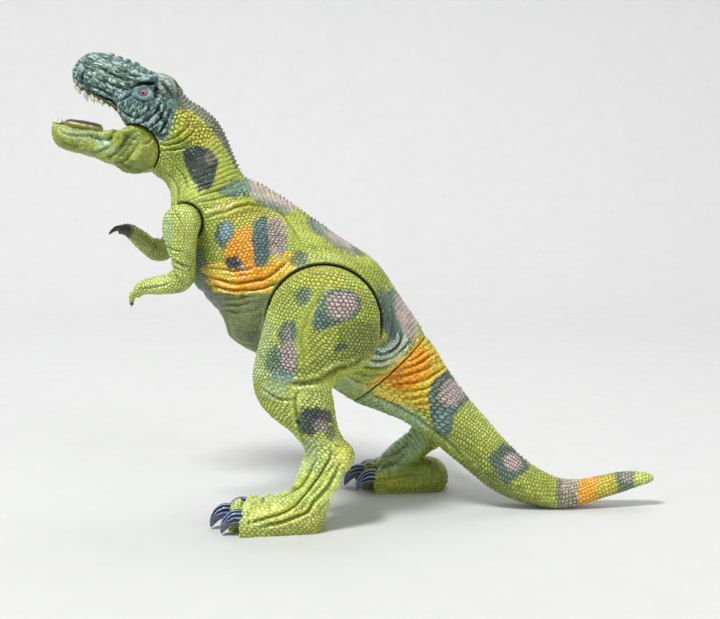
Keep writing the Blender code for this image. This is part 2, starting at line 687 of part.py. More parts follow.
def tooth(base, direction, length, sweep):
    """A small curved cone, leaning towards the throat."""
    rings = []
    for share, width_share in ((-0.30, 1.0), (0.50, 0.72), (1.0, 0.12)):
        centre = base + direction * (length * share) + sweep * (length * 0.25 * max(share, 0) ** 2)
        rings.append(circle_ring(centre, direction, TOOTH_RADIUS * width_share, TOOTH_SEGMENTS))
    return skin_rings("tooth", rings)


def on_sections(shares, place, width_share):
    """The lower and upper edge points and the half width at a place along a row of sections."""
    index = min(int(place), len(shares) - 2)
    mix = place - index
    row = shares[index]
    after = shares[index + 1]
    low = side_point(*row[2:4]).lerp(side_point(*after[2:4]), mix)
    top = side_point(*row[0:2]).lerp(side_point(*after[0:2]), mix)
    width = row[4] * (1 - mix) + after[4] * mix
    return low, top, width * HALF_WIDTH * width_share


def upper_teeth():
    """The palate plate with the upper teeth, set into the roof of the mouth."""
    plate = skin_rings("upper_teeth", palate_rings(0, PALATE_THICKNESS * 0.15, TRAY_POWER))
    teeth = []
    for place, length_share in UPPER_TOOTH_SHARES:
        low, top, width = on_sections(HEAD_SECTION_SHARES, place, PALATE_WIDTH_SHARE)
        down = (low - top).normalized()
        for side in (-1, 1):
            base = low + SIDE * (side * (width - TOOTH_RADIUS * 1.1))
            teeth.append(tooth(base, down, TOOTH_LENGTH * length_share, Vector((1, 0, 0))))
    return fuse(plate, *teeth)


def mouth_floor_rings(grow, power):
    """Rings of the mouth floor: a shallow tray between the rims of the lower jaw."""
    rings = []
    for place in TRAY_PLACE_SHARES:
        bottom, top, width = on_sections(JAW_SECTION_SHARES, place, TRAY_WIDTH_SHARE)
        down = (bottom - top).normalized()
        high = top + down * (FLOOR_THICKNESS * 0.5) if not grow else top - down * OVERRUN
        rings.append(section_ring(high, top + down * (FLOOR_THICKNESS * 1.5 + grow),
                                  width + grow, width + grow, 0, power, 0, TRAY_SEGMENTS))
    return rings


def mouth_floor():
    """The tray with the tongue on it."""
    tray = skin_rings("mouth_floor", mouth_floor_rings(0, TRAY_POWER))
    rings = []
    for place, height_share, width_share in TONGUE_SHARES:
        low, top, width = on_sections(JAW_SECTION_SHARES, place, width_share)
        base = top - Vector((0, 0, FLOOR_THICKNESS))
        rings.append(section_ring(base + Vector((0, 0, TONGUE_HEIGHT * height_share)), base,
                                  width, width, 0, TONGUE_POWER, 0, SCREW_SEGMENTS))
    return fuse(tray, skin_rings("tongue", rings))


def jaw_ear(side):
    """The domed disc at one side of the hinge."""
    inner = JAW_CORE_WIDTH / 2 + SEAT_GAP
    dome = [(inner * 0.9, JAW_DISC_RADIUS), (inner + JAW_EAR_THICKNESS * 0.62, JAW_DISC_RADIUS),
            (inner + JAW_EAR_THICKNESS * 0.84, JAW_DISC_RADIUS * 0.90),
            (inner + JAW_EAR_THICKNESS, JAW_DISC_RADIUS * 0.62)]
    return turned("ear", JAW_PIVOT, SIDE * side, dome, DISC_SEGMENTS)


def lower_jaw():
    """The jaw with its two ear discs, a slot for the head's core and blind holes for the axle."""
    rings = []
    for top_x, top_z, low_x, low_z, width_share in JAW_SECTION_SHARES:
        width = width_share * HALF_WIDTH
        rings.append(section_ring(side_point(top_x, top_z), side_point(low_x, low_z), width, width, 0,
                                  JAW_POWER, 0, LIMB_SEGMENTS))
    jaw = fuse(skin_rings("lower_jaw", rings), jaw_ear(-1), jaw_ear(1))
    half = JAW_CORE_WIDTH / 2 + SEAT_GAP
    radius = JAW_CORE_RADIUS + POCKET_GAP
    socket = JAW_AXLE_LENGTH / 2 + SEAT_GAP
    slot = turned("slot", JAW_PIVOT, SIDE,
                  [(-socket, JAW_AXLE_RADIUS + RUNNING_GAP), (-half, JAW_AXLE_RADIUS + RUNNING_GAP),
                   (-half, radius), (half, radius),
                   (half, JAW_AXLE_RADIUS + RUNNING_GAP), (socket, JAW_AXLE_RADIUS + RUNNING_GAP)],
                  DISC_SEGMENTS)
    cut(jaw, slot, skin_rings("tray_pocket", mouth_floor_rings(SEAT_GAP, TRAY_POCKET_POWER)))
    side = half - SEAT_GAP / 2
    cut(jaw, block("throat", JAW_PIVOT + Vector((-radius * 1.35, -side, JAW_DISC_RADIUS * 0.38)),
                   JAW_PIVOT + Vector((radius * 0.5, side, JAW_DISC_RADIUS * 2))))
    teeth = []
    for place, length_share in LOWER_TOOTH_SHARES:
        low, top, width = on_sections(JAW_SECTION_SHARES, place, RIM_WIDTH_SHARE)
        for side in (-1, 1):
            base = top + SIDE * (side * width) - Vector((0, 0, TOOTH_RADIUS))
            teeth.append(tooth(base, Vector((0, 0, 1)), TOOTH_LENGTH * length_share, Vector((1, 0, 0))))
    return fuse(jaw, *teeth)


def limb_rings(shares, plane, thickness, inner_limit, count):
    """Rings of a limb on the +Y side: domed outside, flatter towards the body."""
    rings = []
    for front_x, front_z, rear_x, rear_z, width_share in shares:
        outer = width_share * thickness
        inner = min(outer, plane - inner_limit)
        rings.append(section_ring(side_point(front_x, front_z), side_point(rear_x, rear_z),
                                  outer, inner, plane, LIMB_POWER, 0, count))
    return rings


def toe(heel, plane, start, end, offset_start, offset_end):
    """One toe with two knuckles, from inside the foot to its blunt end."""
    rings = []
    steps = len(TOE_HEIGHT_SHARES)
    for k, (height_share, width_share) in enumerate(zip(TOE_HEIGHT_SHARES, TOE_WIDTH_SHARES)):
        share = k / (steps - 1)
        x = heel - FOOT_LENGTH * (start + (end - start) * share)
        y = plane + FOOT_WIDTH * (offset_start + (offset_end - offset_start) * share)
        top = Vector((x, 0, FOOT_HEIGHT * height_share))
        bottom = Vector((x, 0, FOOT_HEIGHT * TOE_SOLE_SHARE))
        width = FOOT_WIDTH * width_share
        rings.append(section_ring(top, bottom, width, width, y, FOOT_POWER, 0, TOE_SEGMENTS))
    return skin_rings("toe", rings)


def claw(heel, plane, end, offset):
    """A curved claw that grows out of a toe's end."""
    x = heel - FOOT_LENGTH * end
    y = plane + FOOT_WIDTH * offset
    rings = []
    for share, height_share, radius_share in CLAW_RING_SHARES:
        centre = Vector((x - CLAW_LENGTH * share, y, FOOT_HEIGHT * height_share))
        tilt = Vector((-1, 0, -CLAW_TILT_SHARE * max(share, 0)))
        rings.append(circle_ring(centre, tilt, CLAW_RADIUS * radius_share, CLAW_SEGMENTS, SIDE))
    return skin_rings("claw", rings)


def leg(name, shares, heel_share, swellings):
    """One leg on the +Y side: thigh disc and hub, limb, foot, three toes and claws, flat sole."""
    plane = LEG_INNER + LEG_THICKNESS * 0.37
    heel = heel_share * FIGURE_LENGTH
    rings = limb_rings(shares, plane, LEG_THICKNESS, LEG_INNER, LIMB_SEGMENTS)
    made = skin_rings(name, muscled(rings, swellings, plane, LEG_THICKNESS))
    hub_end = HIP_FLOOR - WALL - SEAT_GAP
    disc_inner = HIP_FLOOR + SEAT_GAP
    disc = turned("disc", HIP, SIDE,
                  [(hub_end, HIP_HUB_RADIUS), (disc_inner, HIP_HUB_RADIUS), (disc_inner, THIGH_DISC_RADIUS),
                   (LEG_INNER + LEG_THICKNESS * 0.12, THIGH_DISC_RADIUS),
                   (LEG_INNER + LEG_THICKNESS * 0.42, THIGH_DISC_RADIUS * 0.93),
                   (LEG_INNER + LEG_THICKNESS * 0.66, THIGH_DISC_RADIUS * 0.78)], DISC_SEGMENTS)
    rings = []
    for place, height_share, width_share, sole_share in FOOT_SECTION_SHARES:
        x = heel - FOOT_LENGTH * place
        width = FOOT_WIDTH * width_share
        rings.append(section_ring(Vector((x, 0, FOOT_HEIGHT * height_share)),
                                  Vector((x, 0, FOOT_HEIGHT * sole_share)), width, width, plane,
                                  FOOT_POWER, 0,
                                  FOOT_SEGMENTS))
    fuse(made, disc, skin_rings("foot", rings))
    for start, end, offset_start, offset_end in TOE_SHARES:
        fuse(made, toe(heel, plane, start, end, offset_start, offset_end))
    fuse(made, *[claw(heel, plane, end, offset_end) for start, end, offset_start, offset_end in TOE_SHARES])
    pilot = turned("pilot", HIP, SIDE, [(hub_end - OVERRUN, HIP_SCREW_RADIUS + RUNNING_GAP),
                                        (hub_end + HIP_SCREW_LENGTH, HIP_SCREW_RADIUS + RUNNING_GAP)],
                   SCREW_SEGMENTS)
    ground = block("ground", (-FIGURE_LENGTH, 0, -FOOT_HEIGHT), (FIGURE_LENGTH, BODY_WIDTH * 2, 0))
    return cut(made, ground, pilot)


def hip_washer(name):
    high = HIP_FLOOR - WALL - SEAT_GAP * 2
    return washer(name, HIP, SIDE, high - HIP_WASHER_THICKNESS, high, HIP_SCREW_RADIUS + SEAT_GAP,
                  HIP_WASHER_RADIUS, PEG_SEGMENTS)


def hip_screw(name):
    seat = HIP_FLOOR - WALL - SEAT_GAP * 3 - HIP_WASHER_THICKNESS
    return screw(name, HIP + SIDE * seat, SIDE, HIP_SCREW_HEAD_RADIUS, HIP_SCREW_HEAD_HEIGHT,
                 HIP_SCREW_RADIUS, HIP_SCREW_LENGTH)


def arm(name):
    """One arm on the +Y side: peg, shoulder disc, forearm and two clawed fingers."""
    made = skin_rings(name, limb_rings(ARM_SECTION_SHARES, ARM_PLANE, ARM_THICKNESS,
                                       ARM_PLANE - ARM_THICKNESS * 0.44, FOOT_SEGMENTS))
    disc_inner = SHOULDER_FLOOR + SEAT_GAP
    peg_end = SHOULDER_FLOOR - SHOULDER_BED - SEAT_GAP * 2 - RETAINER_THICKNESS
    disc = turned("disc", SHOULDER, SIDE,
                  [(peg_end, SHOULDER_PEG_RADIUS), (disc_inner, SHOULDER_PEG_RADIUS),
                   (disc_inner, SHOULDER_DISC_RADIUS), (ARM_PLANE, SHOULDER_DISC_RADIUS)], PEG_SEGMENTS)
    return fuse(made, disc, finger(-1), finger(1))


def finger(offset):
    """A finger that ends in a hooked claw."""
    wrist = side_point(*ARM_SECTION_SHARES[-1][0:2]).lerp(side_point(*ARM_SECTION_SHARES[-1][2:4]), 0.5)
    rings = []
    for ahead, drop, radius_share in ((-0.35, -0.20, 1.0), (0.0, 0.0, 1.0), (0.22, 0.30, 0.85),
                                      (0.30, 0.65, 0.55), (0.28, 1.0, 0.12)):
        centre = wrist + Vector((-ahead, 0, -drop)) * FINGER_LENGTH
        centre += SIDE * (ARM_PLANE + offset * FINGER_RADIUS * 1.25)
        rings.append(circle_ring(centre, Vector((-1, 0, -1.2)), FINGER_RADIUS * radius_share,
                                 CLAW_SEGMENTS))
    return skin_rings("finger", rings)


def shoulder_retainer(name):
    """The push-on ring that keeps an arm's peg in its shell."""
    high = SHOULDER_FLOOR - SHOULDER_BED - SEAT_GAP
    return washer(name, SHOULDER, SIDE, high - RETAINER_THICKNESS, high,
                  SHOULDER_PEG_RADIUS + RUNNING_GAP, RETAINER_RADIUS, PEG_SEGMENTS)


def tail():
    """The tail with its keyed blind socket."""
    start = TAIL_AXIS * TAIL_GAP
    last = body_rings(TRUNK_SECTION_SHARES[-1:], len(HEAD_SECTION_SHARES), 0, LIMB_SEGMENTS)[0]
    rings = [[point + start for point in last]]
    rings += body_rings(TAIL_SECTION_SHARES, len(HEAD_SECTION_SHARES), 0, LIMB_SEGMENTS)
    made = skin_rings("tail", rings)
    socket = turned("socket", SEAM_CENTRE, TAIL_AXIS,
                    [(0, TAIL_PEG_RADIUS + SEAT_GAP), (TAIL_SOCKET_DEPTH, TAIL_PEG_RADIUS + SEAT_GAP),
                     (TAIL_SOCKET_DEPTH, TAIL_SCREW_RADIUS + RUNNING_GAP),
                     (TAIL_SOCKET_DEPTH + TAIL_SCREW_LENGTH, TAIL_SCREW_RADIUS + RUNNING_GAP)],
                    DISC_SEGMENTS)
    return cut(cut(made, socket), tail_key(SEAT_GAP))


def tail_key(grow):
    """The key that makes the tail turn with its plug."""
    reach = TAIL_PEG_RADIUS + TAIL_KEY_HEIGHT + grow
    half = TAIL_KEY_WIDTH / 2 + grow
    start = TAIL_GAP * 2 - grow * 3
    key = block("key", (-reach, -half, start), (reach, half, TAIL_SOCKET_DEPTH - SEAT_GAP * 3 + grow))
    turn = TAIL_AXIS.to_track_quat("Z", "Y").to_matrix().to_4x4()
    key.data.transform(Matrix.Translation(SEAM_CENTRE) @ turn)
    return key


def tail_plug():
    """The rigid plug: flange inside the shells, neck through their end wall, keyed stub in the tail."""
    flange_face = -END_WALL - SEAT_GAP
    profile = [(flange_face - TAIL_FLANGE_THICKNESS, TAIL_FLANGE_RADIUS), (flange_face, TAIL_FLANGE_RADIUS),
               (flange_face, TAIL_PEG_RADIUS), (TAIL_SOCKET_DEPTH - SEAT_GAP, TAIL_PEG_RADIUS)]
    plug = fuse(turned("tail_plug", SEAM_CENTRE, TAIL_AXIS, profile, DISC_SEGMENTS), tail_key(0))
    return cut(plug, turned("screw_way", SEAM_CENTRE, TAIL_AXIS,
                            [(-TAIL_SOCKET_DEPTH, TAIL_SCREW_RADIUS + SEAT_GAP),
                             (TAIL_SOCKET_DEPTH * 2, TAIL_SCREW_RADIUS + SEAT_GAP)], SCREW_SEGMENTS))


def tail_screw():
    seat = -END_WALL - SEAT_GAP * 2 - TAIL_FLANGE_THICKNESS
    length = TAIL_SOCKET_DEPTH + TAIL_SCREW_LENGTH - seat - OVERRUN * 2
    return screw("tail_screw", SEAM_CENTRE + TAIL_AXIS * seat, TAIL_AXIS, TAIL_SCREW_HEAD_RADIUS,
                 TAIL_SCREW_HEAD_HEIGHT, TAIL_SCREW_RADIUS, length)


def paint(part, colour, roughness, metallic=0.0):
    """Gives a piece its own plain material and smooth shading."""
    finish = bpy.data.materials.new(part.name)
    finish.use_nodes = True
    shader = finish.node_tree.nodes["Principled BSDF"]
    shader.inputs["Base Color"].default_value = (*colour, 1)
    shader.inputs["Roughness"].default_value = roughness
    shader.inputs["Metallic"].default_value = metallic
    part.data.materials.clear()
    part.data.materials.append(finish)
    part.data.shade_smooth()
    part.data.set_sharp_from_angle(angle=math.radians(40))
    return part


def hang_on(name, place, axis, *parts):
    """Parents pieces to an empty whose Z axis is their joint's axis."""
    pivot = bpy.data.objects.new(name, None)
    turn = axis.normalized().to_track_quat("Z", "Y").to_matrix().to_4x4()
    pivot.matrix_world = Matrix.Translation(place) @ turn
    bpy.context.scene.collection.objects.link(pivot)
    for part in parts:
        part.parent = pivot
        part.matrix_parent_inverse = (Matrix.Translation(place) @ turn).inverted()


def build_limbs():
    """Legs and arms on both sides. The left ones are mirrored from the +Y side."""
    for side, sign in (("left", -1), ("right", 1)):
        shares = LEFT_LEG_SHARES if sign < 0 else RIGHT_LEG_SHARES
        swellings = THIGH_SWELLING_SHARES + (SHANK_SWELLING_SHARES if sign < 0 else [])
        heel_share = LEFT_HEEL_SHARE if sign < 0 else RIGHT_HEEL_SHARE
        hip_parts = [paint(leg("leg_" + side, shares, heel_share, swellings), SKIN, 0.5),
                     paint(hip_washer("hip_washer_" + side), WHITE_PLASTIC, 0.4),
                     paint(hip_screw("hip_screw_" + side), STEEL, 0.3, 1.0)]
        arm_parts = [paint(arm("arm_" + side), SKIN, 0.5),
                     paint(shoulder_retainer("shoulder_retainer_" + side), WHITE_PLASTIC, 0.4)]
        if sign < 0:
            for part in hip_parts + arm_parts:
                mirrored(part)
        else:
            lift = (Matrix.Translation(SHOULDER) @ Matrix.Rotation(RIGHT_ARM_LIFT, 4, "Y")
                    @ Matrix.Translation(-SHOULDER))
            for part in arm_parts:
                part.data.transform(lift)
        hang_on("hip_axis_" + side, HIP, SIDE, *hip_parts)
        hang_on("shoulder_axis_" + side, SHOULDER, SIDE, *arm_parts)


def build():
    clear_scene()
    left, right = half_shells()
    paint(left, SKIN, 0.5)
    paint(right, SKIN, 0.5)
    for number, place in enumerate(SCREW_PLACE_SHARES, 1):
        paint(body_screw(number, place), STEEL, 0.3, 1.0)
    paint(jaw_axle(), STEEL, 0.3, 1.0)
    paint(upper_teeth(), IVORY, 0.4)
    hang_on("jaw_axis", JAW_PIVOT, SIDE, paint(lower_jaw(), SKIN, 0.5), paint(mouth_floor(), MOUTH, 0.5))
    build_limbs()
    hang_on("tail_axis", SEAM_CENTRE, TAIL_AXIS, paint(tail(), SKIN, 0.5),
            paint(tail_plug(), WHITE_PLASTIC, 0.4), paint(tail_screw(), STEEL, 0.3, 1.0))


build()
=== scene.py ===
"""Looks of a jointed toy dinosaur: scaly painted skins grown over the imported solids.

Every skin is lofted from the same sections as its solid, melted into one closed form, cut where the
joints need room, raised into scales, folds and ridges, and painted vertex by vertex. Places that are
given as pairs of pixels belong to the 720 x 619 photograph and are carried onto the figure through
its camera.
"""

import itertools
import math

import bmesh
import bpy
import numpy as np
from mathutils import Matrix, Vector


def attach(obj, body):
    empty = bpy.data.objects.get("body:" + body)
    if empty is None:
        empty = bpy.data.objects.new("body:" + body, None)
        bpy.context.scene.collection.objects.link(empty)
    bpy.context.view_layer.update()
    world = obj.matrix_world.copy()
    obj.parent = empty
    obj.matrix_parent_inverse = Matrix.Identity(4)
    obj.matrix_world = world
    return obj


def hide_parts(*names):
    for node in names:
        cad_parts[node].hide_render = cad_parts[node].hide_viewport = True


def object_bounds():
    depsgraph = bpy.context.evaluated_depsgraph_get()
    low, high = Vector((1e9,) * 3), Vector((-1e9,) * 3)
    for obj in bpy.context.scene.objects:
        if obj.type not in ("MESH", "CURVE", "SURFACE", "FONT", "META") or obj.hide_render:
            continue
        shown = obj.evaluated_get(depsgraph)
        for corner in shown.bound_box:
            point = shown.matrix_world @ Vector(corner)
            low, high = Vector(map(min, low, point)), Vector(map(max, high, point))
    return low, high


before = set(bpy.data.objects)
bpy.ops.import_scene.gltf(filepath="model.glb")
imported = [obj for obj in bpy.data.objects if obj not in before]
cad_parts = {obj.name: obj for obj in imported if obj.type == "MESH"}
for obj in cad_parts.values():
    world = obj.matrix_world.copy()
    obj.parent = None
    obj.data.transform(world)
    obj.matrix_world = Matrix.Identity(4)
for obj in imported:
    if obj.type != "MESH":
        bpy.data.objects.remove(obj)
cad_low, cad_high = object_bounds()

MM = 0.001
QUICK = 1.0
# Voxels of the skins, and how far cutting tools reach
BODY_VOXEL = 0.00047
LIMB_VOXEL = 0.00043
FINE_VOXEL = 0.00034
LINING_VOXEL = 0.0003
REACH = 0.4
THROUGH = 0.05
# Room for the solids' screws: radii of bosses and holes, and how deep they reach
BOSS_RADIUS = 0.0034
SHANK_HOLE = 0.0014
HEAD_HOLE = 0.0030
PILOT_HOLE = 0.0013
HOLE_START = -0.003
SCREW_SEAT = 0.0075
PILOT_DEPTH = 0.0078
HIP_SCREW_HOLE = 0.0020
HIP_SCREW_REACH = 0.0122
TAIL_SCREW_HOLE = 0.0019
# How dark the painted shade on the rims of cuts is, how much deeper folds are than written, and how far in mm
# the scales lie inside the solids' surface
RIM_SHADE = 0.004
FOLD_SHARE = 1.35
SUNK = 0.38
# How much the trunk and tail narrow towards their upper edge
BODY_TAPER = 0.22
# The skin's rows of small teeth: on the snout, the back and the tail
SNOUT_TEETH = 8.5
BACK_TEETH = 84
TAIL_TEETH = 52
# Half widths that keep the trunk clear of the thighs, and how far from the hip they matter
TRUNK_LIMIT = 0.0264
CHEST_LIMIT = 0.0285
TRUNK_REACH = 0.095

# Sizes shared with the solids, in metres
FIGURE_LENGTH = 0.306
FIGURE_HEIGHT = 0.234
HALF_WIDTH = 0.026
WALL = 0.0022
SEAM_GAP = 0.0003
SEAT_GAP = 0.0003
HIP_FLOOR = 0.0215
LEG_INNER = 0.0267
LEG_THICKNESS = 0.0196
THIGH_DISC_RADIUS = 0.0273
HIP_HUB_RADIUS = 0.008
SHOULDER_DISC_RADIUS = 0.0088
SHOULDER_FLOOR = 0.0158
SHOULDER_BED = 0.005
SHOULDER_PEG_RADIUS = 0.003
RETAINER_RADIUS = 0.0046
RETAINER_THICKNESS = 0.0018
ARM_PLANE = 0.0262
ARM_THICKNESS = 0.0115
RIGHT_ARM_LIFT = math.radians(47)
JAW_DISC_RADIUS = 0.0118
JAW_CORE_WIDTH = 0.021
JAW_CORE_RADIUS = 0.0115
JAW_EAR_THICKNESS = 0.0054
JAW_AXLE_RADIUS = 0.0019
JAW_AXLE_LENGTH = 0.028
TAIL_GAP = 0.0006
TAIL_PEG_RADIUS = 0.008
TAIL_SOCKET_DEPTH = 0.014
TAIL_SCREW_LENGTH = 0.012
END_WALL = 0.0026
FOOT_LENGTH = 0.048
FOOT_HEIGHT = 0.0165
FOOT_WIDTH = 0.030
CLAW_LENGTH = 0.0105
CLAW_RADIUS = 0.0037

# Room that the skins leave where the solids have a running fit or a pocket
EASE = 0.0004
POCKET_ROOM = 0.0009

# The photograph's camera
CAMERA_DISTANCE = 0.575
CAMERA_HEIGHT = 0.187
CAMERA_TILT = math.radians(8.2)
FOCAL_PIXELS = 1140
VIEW_CENTRE = (360, 309.5)
SENSOR_WIDTH = 36
LENS = 57

BODY_SECTIONS = [
    (-0.461, 0.959, -0.461, 0.944, 0.12, 2.8), (-0.456, 0.969, -0.458, 0.927, 0.27, 2.8),
    (-0.446, 0.982, -0.449, 0.915, 0.35, 2.8), (-0.428, 0.992, -0.431, 0.903, 0.40, 2.8),
    (-0.407, 0.987, -0.415, 0.891, 0.43, 2.8), (-0.387, 0.978, -0.401, 0.886, 0.48, 2.8),
    (-0.368, 0.970, -0.390, 0.872, 0.55, 2.8), (-0.350, 0.960, -0.381, 0.850, 0.61, 2.8),
    (-0.332, 0.945, -0.370, 0.822, 0.64, 2.8), (-0.314, 0.940, -0.360, 0.788, 0.65, 2.8),
    (-0.297, 0.923, -0.350, 0.756, 0.63, 2.5), (-0.281, 0.895, -0.333, 0.735, 0.62, 2.3),
    (-0.260, 0.878, -0.319, 0.722, 0.62, 2.3), (-0.237, 0.850, -0.310, 0.699, 0.62, 2.3),
    (-0.219, 0.812, -0.309, 0.671, 0.64, 2.3), (-0.206, 0.769, -0.310, 0.637, 0.68, 2.3),
    (-0.190, 0.731, -0.309, 0.598, 0.75, 2.3), (-0.160, 0.712, -0.301, 0.566, 0.84, 2.3),
    (-0.127, 0.686, -0.288, 0.534, 0.91, 2.3), (-0.096, 0.658, -0.270, 0.498, 0.96, 2.3),
    (-0.065, 0.630, -0.247, 0.464, 0.99, 2.3), (-0.034, 0.603, -0.225, 0.425, 1.00, 2.3),
    (-0.003, 0.577, -0.212, 0.382, 1.00, 2.3), (0.023, 0.553, -0.176, 0.353, 0.99, 2.3),
    (0.042, 0.524, -0.137, 0.329, 0.98, 2.3), (0.060, 0.487, -0.098, 0.310, 0.95, 2.3),
    (0.077, 0.453, -0.065, 0.291, 0.91, 2.3), (0.092, 0.421, -0.038, 0.267, 0.85, 2.3),
    (0.108, 0.389, -0.014, 0.247, 0.78, 2.3),
]
HEAD_ROWS = 13
TAIL_SECTIONS = [
    (0.119, 0.370, 0.011, 0.233, 0.75, 2.3), (0.132, 0.344, 0.039, 0.220, 0.72, 2.3),
    (0.147, 0.312, 0.069, 0.203, 0.67, 2.3), (0.162, 0.284, 0.096, 0.179, 0.62, 2.3),
    (0.178, 0.256, 0.121, 0.156, 0.58, 2.3), (0.196, 0.226, 0.145, 0.128, 0.53, 2.3),
    (0.216, 0.197, 0.168, 0.103, 0.48, 2.3), (0.235, 0.167, 0.191, 0.077, 0.44, 2.3),
    (0.257, 0.137, 0.216, 0.050, 0.40, 2.3), (0.279, 0.109, 0.245, 0.028, 0.37, 2.3),
    (0.306, 0.085, 0.281, 0.011, 0.34, 2.3), (0.333, 0.068, 0.320, 0.000, 0.31, 2.3),
    (0.359, 0.062, 0.355, 0.000, 0.28, 2.3), (0.386, 0.064, 0.386, 0.011, 0.25, 2.3),
    (0.415, 0.073, 0.417, 0.024, 0.22, 2.3), (0.444, 0.080, 0.446, 0.036, 0.19, 2.3),
    (0.474, 0.081, 0.474, 0.049, 0.14, 2.3), (0.493, 0.076, 0.493, 0.057, 0.09, 2.3),
    (0.500, 0.070, 0.500, 0.063, 0.03, 2.3),
]
JAW_SECTIONS = [
    (-0.498, 0.844, -0.500, 0.827, 0.10, 2.6), (-0.493, 0.850, -0.495, 0.806, 0.23, 2.6),
    (-0.484, 0.846, -0.485, 0.794, 0.31, 2.6), (-0.467, 0.840, -0.467, 0.786, 0.36, 2.6),
    (-0.446, 0.835, -0.446, 0.780, 0.40, 2.6), (-0.423, 0.830, -0.423, 0.769, 0.46, 2.6),
    (-0.400, 0.822, -0.400, 0.756, 0.52, 2.6), (-0.383, 0.827, -0.381, 0.745, 0.58, 2.6),
    (-0.355, 0.836, -0.355, 0.744, 0.60, 2.6),
]
LEFT_LEG = [
    (-0.089, 0.545, -0.026, 0.545, 0.26, 2.2), (-0.125, 0.513, 0.009, 0.513, 0.49, 2.2),
    (-0.143, 0.470, 0.028, 0.470, 0.60, 2.2), (-0.151, 0.432, 0.031, 0.425, 0.64, 2.2),
    (-0.158, 0.397, 0.026, 0.385, 0.64, 2.2), (-0.165, 0.363, 0.003, 0.348, 0.63, 2.2),
    (-0.169, 0.331, -0.025, 0.328, 0.60, 2.2), (-0.167, 0.299, -0.044, 0.303, 0.56, 2.2),
    (-0.158, 0.271, -0.042, 0.274, 0.53, 2.2), (-0.141, 0.244, -0.039, 0.246, 0.50, 2.2),
    (-0.118, 0.220, -0.035, 0.218, 0.46, 2.2), (-0.096, 0.194, -0.025, 0.192, 0.42, 2.2),
    (-0.088, 0.167, -0.010, 0.169, 0.41, 2.2), (-0.093, 0.141, -0.011, 0.143, 0.42, 2.2),
    (-0.100, 0.118, -0.026, 0.113, 0.45, 2.2), (-0.108, 0.090, -0.042, 0.083, 0.48, 2.2),
    (-0.118, 0.060, -0.052, 0.051, 0.51, 2.2), (-0.118, 0.026, -0.056, 0.019, 0.51, 2.2),
]
RIGHT_LEG = [
    (-0.089, 0.545, -0.026, 0.545, 0.26, 2.2), (-0.125, 0.513, 0.009, 0.513, 0.49, 2.2),
    (-0.143, 0.470, 0.028, 0.470, 0.60, 2.2), (-0.142, 0.432, 0.031, 0.425, 0.64, 2.2),
    (-0.131, 0.393, 0.033, 0.385, 0.64, 2.2), (-0.114, 0.350, 0.031, 0.350, 0.63, 2.2),
    (-0.095, 0.312, 0.031, 0.321, 0.60, 2.2), (-0.072, 0.278, 0.036, 0.299, 0.56, 2.2),
    (-0.046, 0.248, 0.049, 0.282, 0.53, 2.2), (-0.010, 0.218, 0.072, 0.261, 0.49, 2.2),
    (0.026, 0.192, 0.105, 0.240, 0.46, 2.2), (0.062, 0.172, 0.135, 0.216, 0.43, 2.2),
    (0.088, 0.158, 0.157, 0.186, 0.42, 2.2), (0.092, 0.144, 0.160, 0.146, 0.41, 2.2),
    (0.080, 0.127, 0.144, 0.110, 0.41, 2.2), (0.058, 0.104, 0.118, 0.078, 0.42, 2.2),
    (0.038, 0.077, 0.098, 0.050, 0.44, 2.2), (0.024, 0.048, 0.086, 0.020, 0.46, 2.2),
]
ARM_SECTIONS = [
    (-0.291, 0.677, -0.270, 0.676, 0.26, 2.2), (-0.306, 0.658, -0.257, 0.660, 0.47, 2.2),
    (-0.310, 0.632, -0.252, 0.637, 0.56, 2.2), (-0.307, 0.605, -0.257, 0.605, 0.56, 2.2),
    (-0.295, 0.553, -0.261, 0.543, 0.49, 2.2),
    (-0.299, 0.541, -0.264, 0.519, 0.47, 2.2), (-0.307, 0.533, -0.278, 0.500, 0.44, 2.2),
    (-0.319, 0.531, -0.301, 0.494, 0.42, 2.2),
    (-0.346, 0.521, -0.340, 0.493, 0.38, 2.2), (-0.355, 0.511, -0.350, 0.486, 0.34, 2.2),
    (-0.358, 0.502, -0.354, 0.491, 0.22, 2.2),
]
FOOT_SECTIONS = [(0.00, 0.56, 0.15, 0.24), (0.04, 0.76, 0.25, 0.05), (0.14, 0.98, 0.33, -0.20),
                 (0.34, 1.06, 0.38, -0.20), (0.52, 1.00, 0.42, -0.20), (0.68, 0.88, 0.44, -0.20),
                 (0.74, 0.70, 0.41, -0.20)]
TOES = [(0.62, 1.00, 0.02, 0.03), (0.52, 0.87, 0.24, 0.345), (0.52, 0.86, -0.22, -0.31)]
TOE_HEIGHTS = (0.82, 0.98, 0.80, 0.90, 0.72)
TOE_WIDTHS = (0.155, 0.165, 0.150, 0.165, 0.135)
SCREW_PLACES = [(-0.262, 0.775), (-0.245, 0.640), (-0.150, 0.640), (-0.170, 0.420), (0.048, 0.472)]
PALATE_PLACES = (0.85, 1.6, 2.4, 3.4, 4.45, 5.4, 6.1)
TRAY_PLACES = (1.8, 2.45, 3.4, 4.4, 5.2)

SIDE = np.array((0.0, 1.0, 0.0))
UP = np.array((0.0, 0.0, 1.0))


def side_point(length_share, height_share):
    """A place in the middle plane, from shares of the figure's length and height."""
    return np.array((length_share * FIGURE_LENGTH, 0.0, height_share * FIGURE_HEIGHT))


def unit(vector):
    """A vector of length 1."""
    return np.asarray(vector, float) / np.linalg.norm(vector)


HIP = side_point(-0.0575, 0.436)
SHOULDER = side_point(-0.281, 0.640)
JAW_PIVOT = side_point(-0.3595, 0.790)
SEAM_TOP = side_point(*BODY_SECTIONS[-1][0:2])
SEAM_LOW = side_point(*BODY_SECTIONS[-1][2:4])
SEAM_CENTRE = (SEAM_TOP + SEAM_LOW) / 2
TAIL_AXIS = unit(np.cross(SIDE, SEAM_TOP - SEAM_LOW))


